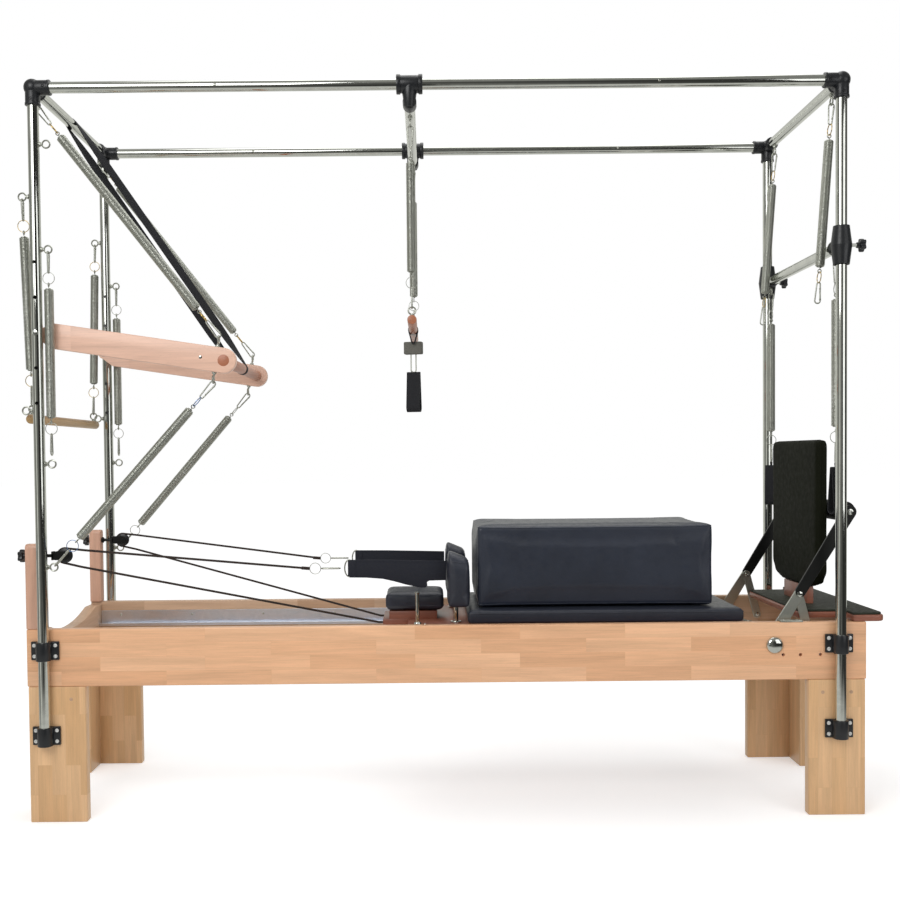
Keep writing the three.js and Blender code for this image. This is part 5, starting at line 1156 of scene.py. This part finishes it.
# Piping or a seam: a path that hugs a cushion's surface
def hug(piece, path, radius, name, finish, body, closed=True, out=0.0):
    tree = BVHTree.FromPolygons([v.co for v in piece.data.vertices], [p.vertices for p in piece.data.polygons])
    points = []
    for point in path:
        found, normal, _, _ = tree.find_nearest(spot(*point))
        points.append((toFrame.inverted() @ (found + normal * out / 1000)))
    addPiece(name, wire(points, radius, closed=closed, resolution=1), finish, body, smooth=60, merge=0)


def rimPath(low, high, z, radius=14, steps=40):
    corners = roundedOutline(low, high, radius, 5)
    path = []
    for a, b in zip(corners, corners[1:] + corners[:1]):
        count = max(1, round(math.dist(a, b) / 18))
        path += [(a[0] + (b[0] - a[0]) * i / count, a[1] + (b[1] - a[1]) * i / count, z) for i in range(count)]
    return path


def makeCushions():
    pad = cushion("long_pad", (73, -238, 560.3), (926, 238, 605.3), padLeather, "carriage", "carriage_pad", 7, 6, 3, 9)
    hug(pad, rimPath((73, -238), (926, 238), 596), 1.5, "pad_piping", padLeather, "carriage")
    head = cushion("head_pad", (-181, -100, 585), (15, 100, 645), padLeather, "headrest_flap", "headrest", 5, 6, 4, 13)
    hug(head, rimPath((-181, -100), (15, 100), 600), 1.4, "head_piping", padLeather, "headrest_flap")
    for side, s in sides.items():
        low, high = (16, s * 168 - 56, 607), (91, s * 168 + 56, 788)
        outline = [(low[1] + 6, 612), (high[1] - 6, 612), *arc((high[1] - 46, 741), 41, 0, 90, 8),
                   *arc((low[1] + 46, 741), 41, 90, 180, 8)]
        body = board(outline, 22, 85, "x", 8, 3)
        for v in body.verts:
            v.co.z = 612 + (v.co.z - 612) * (1 - 0.16 * max(0, (v.co.x - 30) / 55) ** 2)
        rest = cushion(f"shoulder_pad_{side}", low, high, padLeather, "carriage", f"shoulder_rest_{side}", 5, 7, 5, shape=body)
        belt = [(x, y, z) for x, y, z in rimPath((16, low[1]), (91, high[1]), 755)]
        hug(rest, belt, 1.3, f"shoulder_seam_{side}", padLeather, "carriage")
    box = cushion("box_cover", (108, -185, 605.6), (842, 185, 861.6), boxLeather, "box", "sitting_box", 7, 6, 3, 8)
    hug(box, rimPath((108, -185), (842, 185), 858), 1.7, "box_top_piping", boxLeather, "box")
    hug(box, rimPath((108, -185), (842, 185), 609), 1.7, "box_foot_piping", boxLeather, "box")
    corners = [(x, y) for x in (108, 842) for y in (-185, 185)]
    for i, (x, y) in enumerate(corners):
        hug(box, [(x, y, z) for z in range(612, 860, 12)], 1.4, f"box_corner_{i}", boxLeather, "box", closed=False)


def makeJumpBoard():
    outline = [(-120, 652), (120, 652), (185, 668), *arc((183, 715), 32, -60, 0, 6), *arc((193, 1093), 22, 0, 90, 8),
               *arc((-193, 1093), 22, 90, 180, 8), *arc((-183, 715), 32, 180, 240, 6), (-185, 668)]
    body = board(outline, 1146, 1178, "x", 5, 3)
    panel = cushion("jump_panel", (1144, -215, 650), (1180, 215, 1115), boardLeather, "jumper", "jump_board", 6, 4, 3,
                    shape=body)
    outer = [(1162, y, z) for y, z in outline]
    hug(panel, outer, 1.5, "jump_piping", boardLeather, "jumper")
    addPiece("jump_tab", block((1152, -110, 580.6), (1172, 110, 654), 2), redWood, "jumper")


makeCushions()
makeJumpBoard()
print("cushions made")


# A plain pale floor and soft studio light
studio = {"glow": (0.38, 0.52), "glowFrom": 1.8, "glowTo": 4.5, "diffuse": 0.56}
lamps = {
    "key": {"place": (-1.6, -3.2, 2.9), "aim": (0, 0, 0.9), "size": 2.0, "power": 54},
    "fill": {"place": (2.8, -2.8, 1.8), "aim": (0, 0, 0.9), "size": 2.2, "power": 24},
    "top": {"place": (0.2, 0.6, 3.6), "aim": (0, 0, 0.5), "size": 2.6, "power": 36},
}


def mixed(tree, share, first, second):
    return addNode(tree, "ShaderNodeMix", {"Factor": share, 6: first, 7: second}, data_type="RGBA").outputs[2]


def makeFloor():
    bm = bmesh.new()
    bmesh.ops.create_grid(bm, x_segments=1, y_segments=1, size=40, matrix=Matrix.Translation((0, 0, -0.0005)))
    mesh = bpy.data.meshes.new("floor")
    bm.to_mesh(mesh)
    bm.free()
    floor = bpy.data.objects.new("floor", mesh)
    scene.collection.objects.link(floor)
    pale = bpy.data.materials.new("pale floor")
    pale.use_nodes = True
    tree = pale.node_tree
    shader = tree.nodes["Principled BSDF"]
    shader.inputs["Roughness"].default_value = 0.9
    shader.inputs["Specular IOR Level"].default_value = 0.0
    rays = addNode(tree, "ShaderNodeLightPath")
    coords = addNode(tree, "ShaderNodeTexCoord").outputs["Object"]
    parts = addNode(tree, "ShaderNodeSeparateXYZ", {"Vector": coords}).outputs
    # Far off, the floor glows enough to pass into the white behind it
    distance = addNode(tree, "ShaderNodeVectorMath", {0: coords}, operation="LENGTH").outputs["Value"]
    glow = ranged(tree, distance, *studio["glow"], studio["glowFrom"], studio["glowTo"])
    # In a mirror it is bright near the part, and passes into the studio's walls
    ahead = calc(tree, "SUBTRACT", parts["X"], calc(tree, "MULTIPLY", calc(tree, "SIGN", parts["X"]), 1.17))
    walls = addNode(tree, "ShaderNodeGroup", node_tree=studioWalls)
    tree.links.new(ahead, walls.inputs["X"])
    tree.links.new(calc(tree, "ADD", parts["Y"], 0.34), walls.inputs["Y"])
    near = calc(tree, "MULTIPLY", ranged(tree, parts["Y"], 0.0, 1.0, -2.4, -1.5),
                ranged(tree, calc(tree, "ABSOLUTE", parts["X"]), 1.0, 0.0, 1.8, 2.8))
    mirrored = mixed(tree, near, walls.outputs["Color"], (0.66, 0.66, 0.63, 1))
    shiny = rays.outputs["Is Glossy Ray"]
    tree.links.new(mixed(tree, shiny, (0.9, 0.9, 0.9, 1), (0, 0, 0, 1)), shader.inputs["Base Color"])
    tree.links.new(mixed(tree, shiny, (1, 1, 1, 1), mirrored), shader.inputs["Emission Color"])
    seen = calc(tree, "MULTIPLY", calc(tree, "MAXIMUM", rays.outputs["Is Camera Ray"], rays.outputs["Is Transmission Ray"]),
                glow)
    tree.links.new(calc(tree, "MAXIMUM", seen, shiny), shader.inputs["Emission Strength"])
    mesh.materials.append(pale)


def makeWorld():
    world = bpy.data.worlds.new("studio")
    scene.world = world
    world.use_nodes = True
    tree = world.node_tree
    light = tree.nodes["Background"]
    rays = addNode(tree, "ShaderNodeLightPath")
    parts = addNode(tree, "ShaderNodeSeparateXYZ", {"Vector": addNode(tree, "ShaderNodeTexCoord").outputs["Generated"]})
    walls = addNode(tree, "ShaderNodeGroup", node_tree=studioWalls)
    tree.links.new(parts.outputs["X"], walls.inputs["X"])
    tree.links.new(parts.outputs["Y"], walls.inputs["Y"])
    ceiling = ranged(tree, parts.outputs["Z"], 0.0, 0.7, 0.3, 0.5)
    room = mixed(tree, ceiling, walls.outputs["Color"], (0.4, 0.4, 0.38, 1))
    shiny = rays.outputs["Is Glossy Ray"]
    tree.links.new(mixed(tree, shiny, (1, 1, 1, 1), room), light.inputs["Color"])
    plain = calc(tree, "MAXIMUM", rays.outputs["Is Camera Ray"], rays.outputs["Is Transmission Ray"])
    plain = calc(tree, "MAXIMUM", plain, shiny)
    tree.links.new(ranged(tree, plain, studio["diffuse"], 1.0), light.inputs["Strength"])


def makeStudio():
    makeFloor()
    makeWorld()
    for name, settings in lamps.items():
        lamp = bpy.data.lights.new(name, "AREA")
        lamp.size = settings["size"]
        lamp.energy = settings["power"]
        holder = bpy.data.objects.new(name, lamp)
        scene.collection.objects.link(holder)
        aim = Vector(settings["aim"]) - Vector(settings["place"])
        holder.matrix_world = Matrix.Translation(settings["place"]) @ aim.to_track_quat("-Z", "Y").to_matrix().to_4x4()
    scene.view_settings.view_transform = "Standard"


makeStudio()
print("studio made")
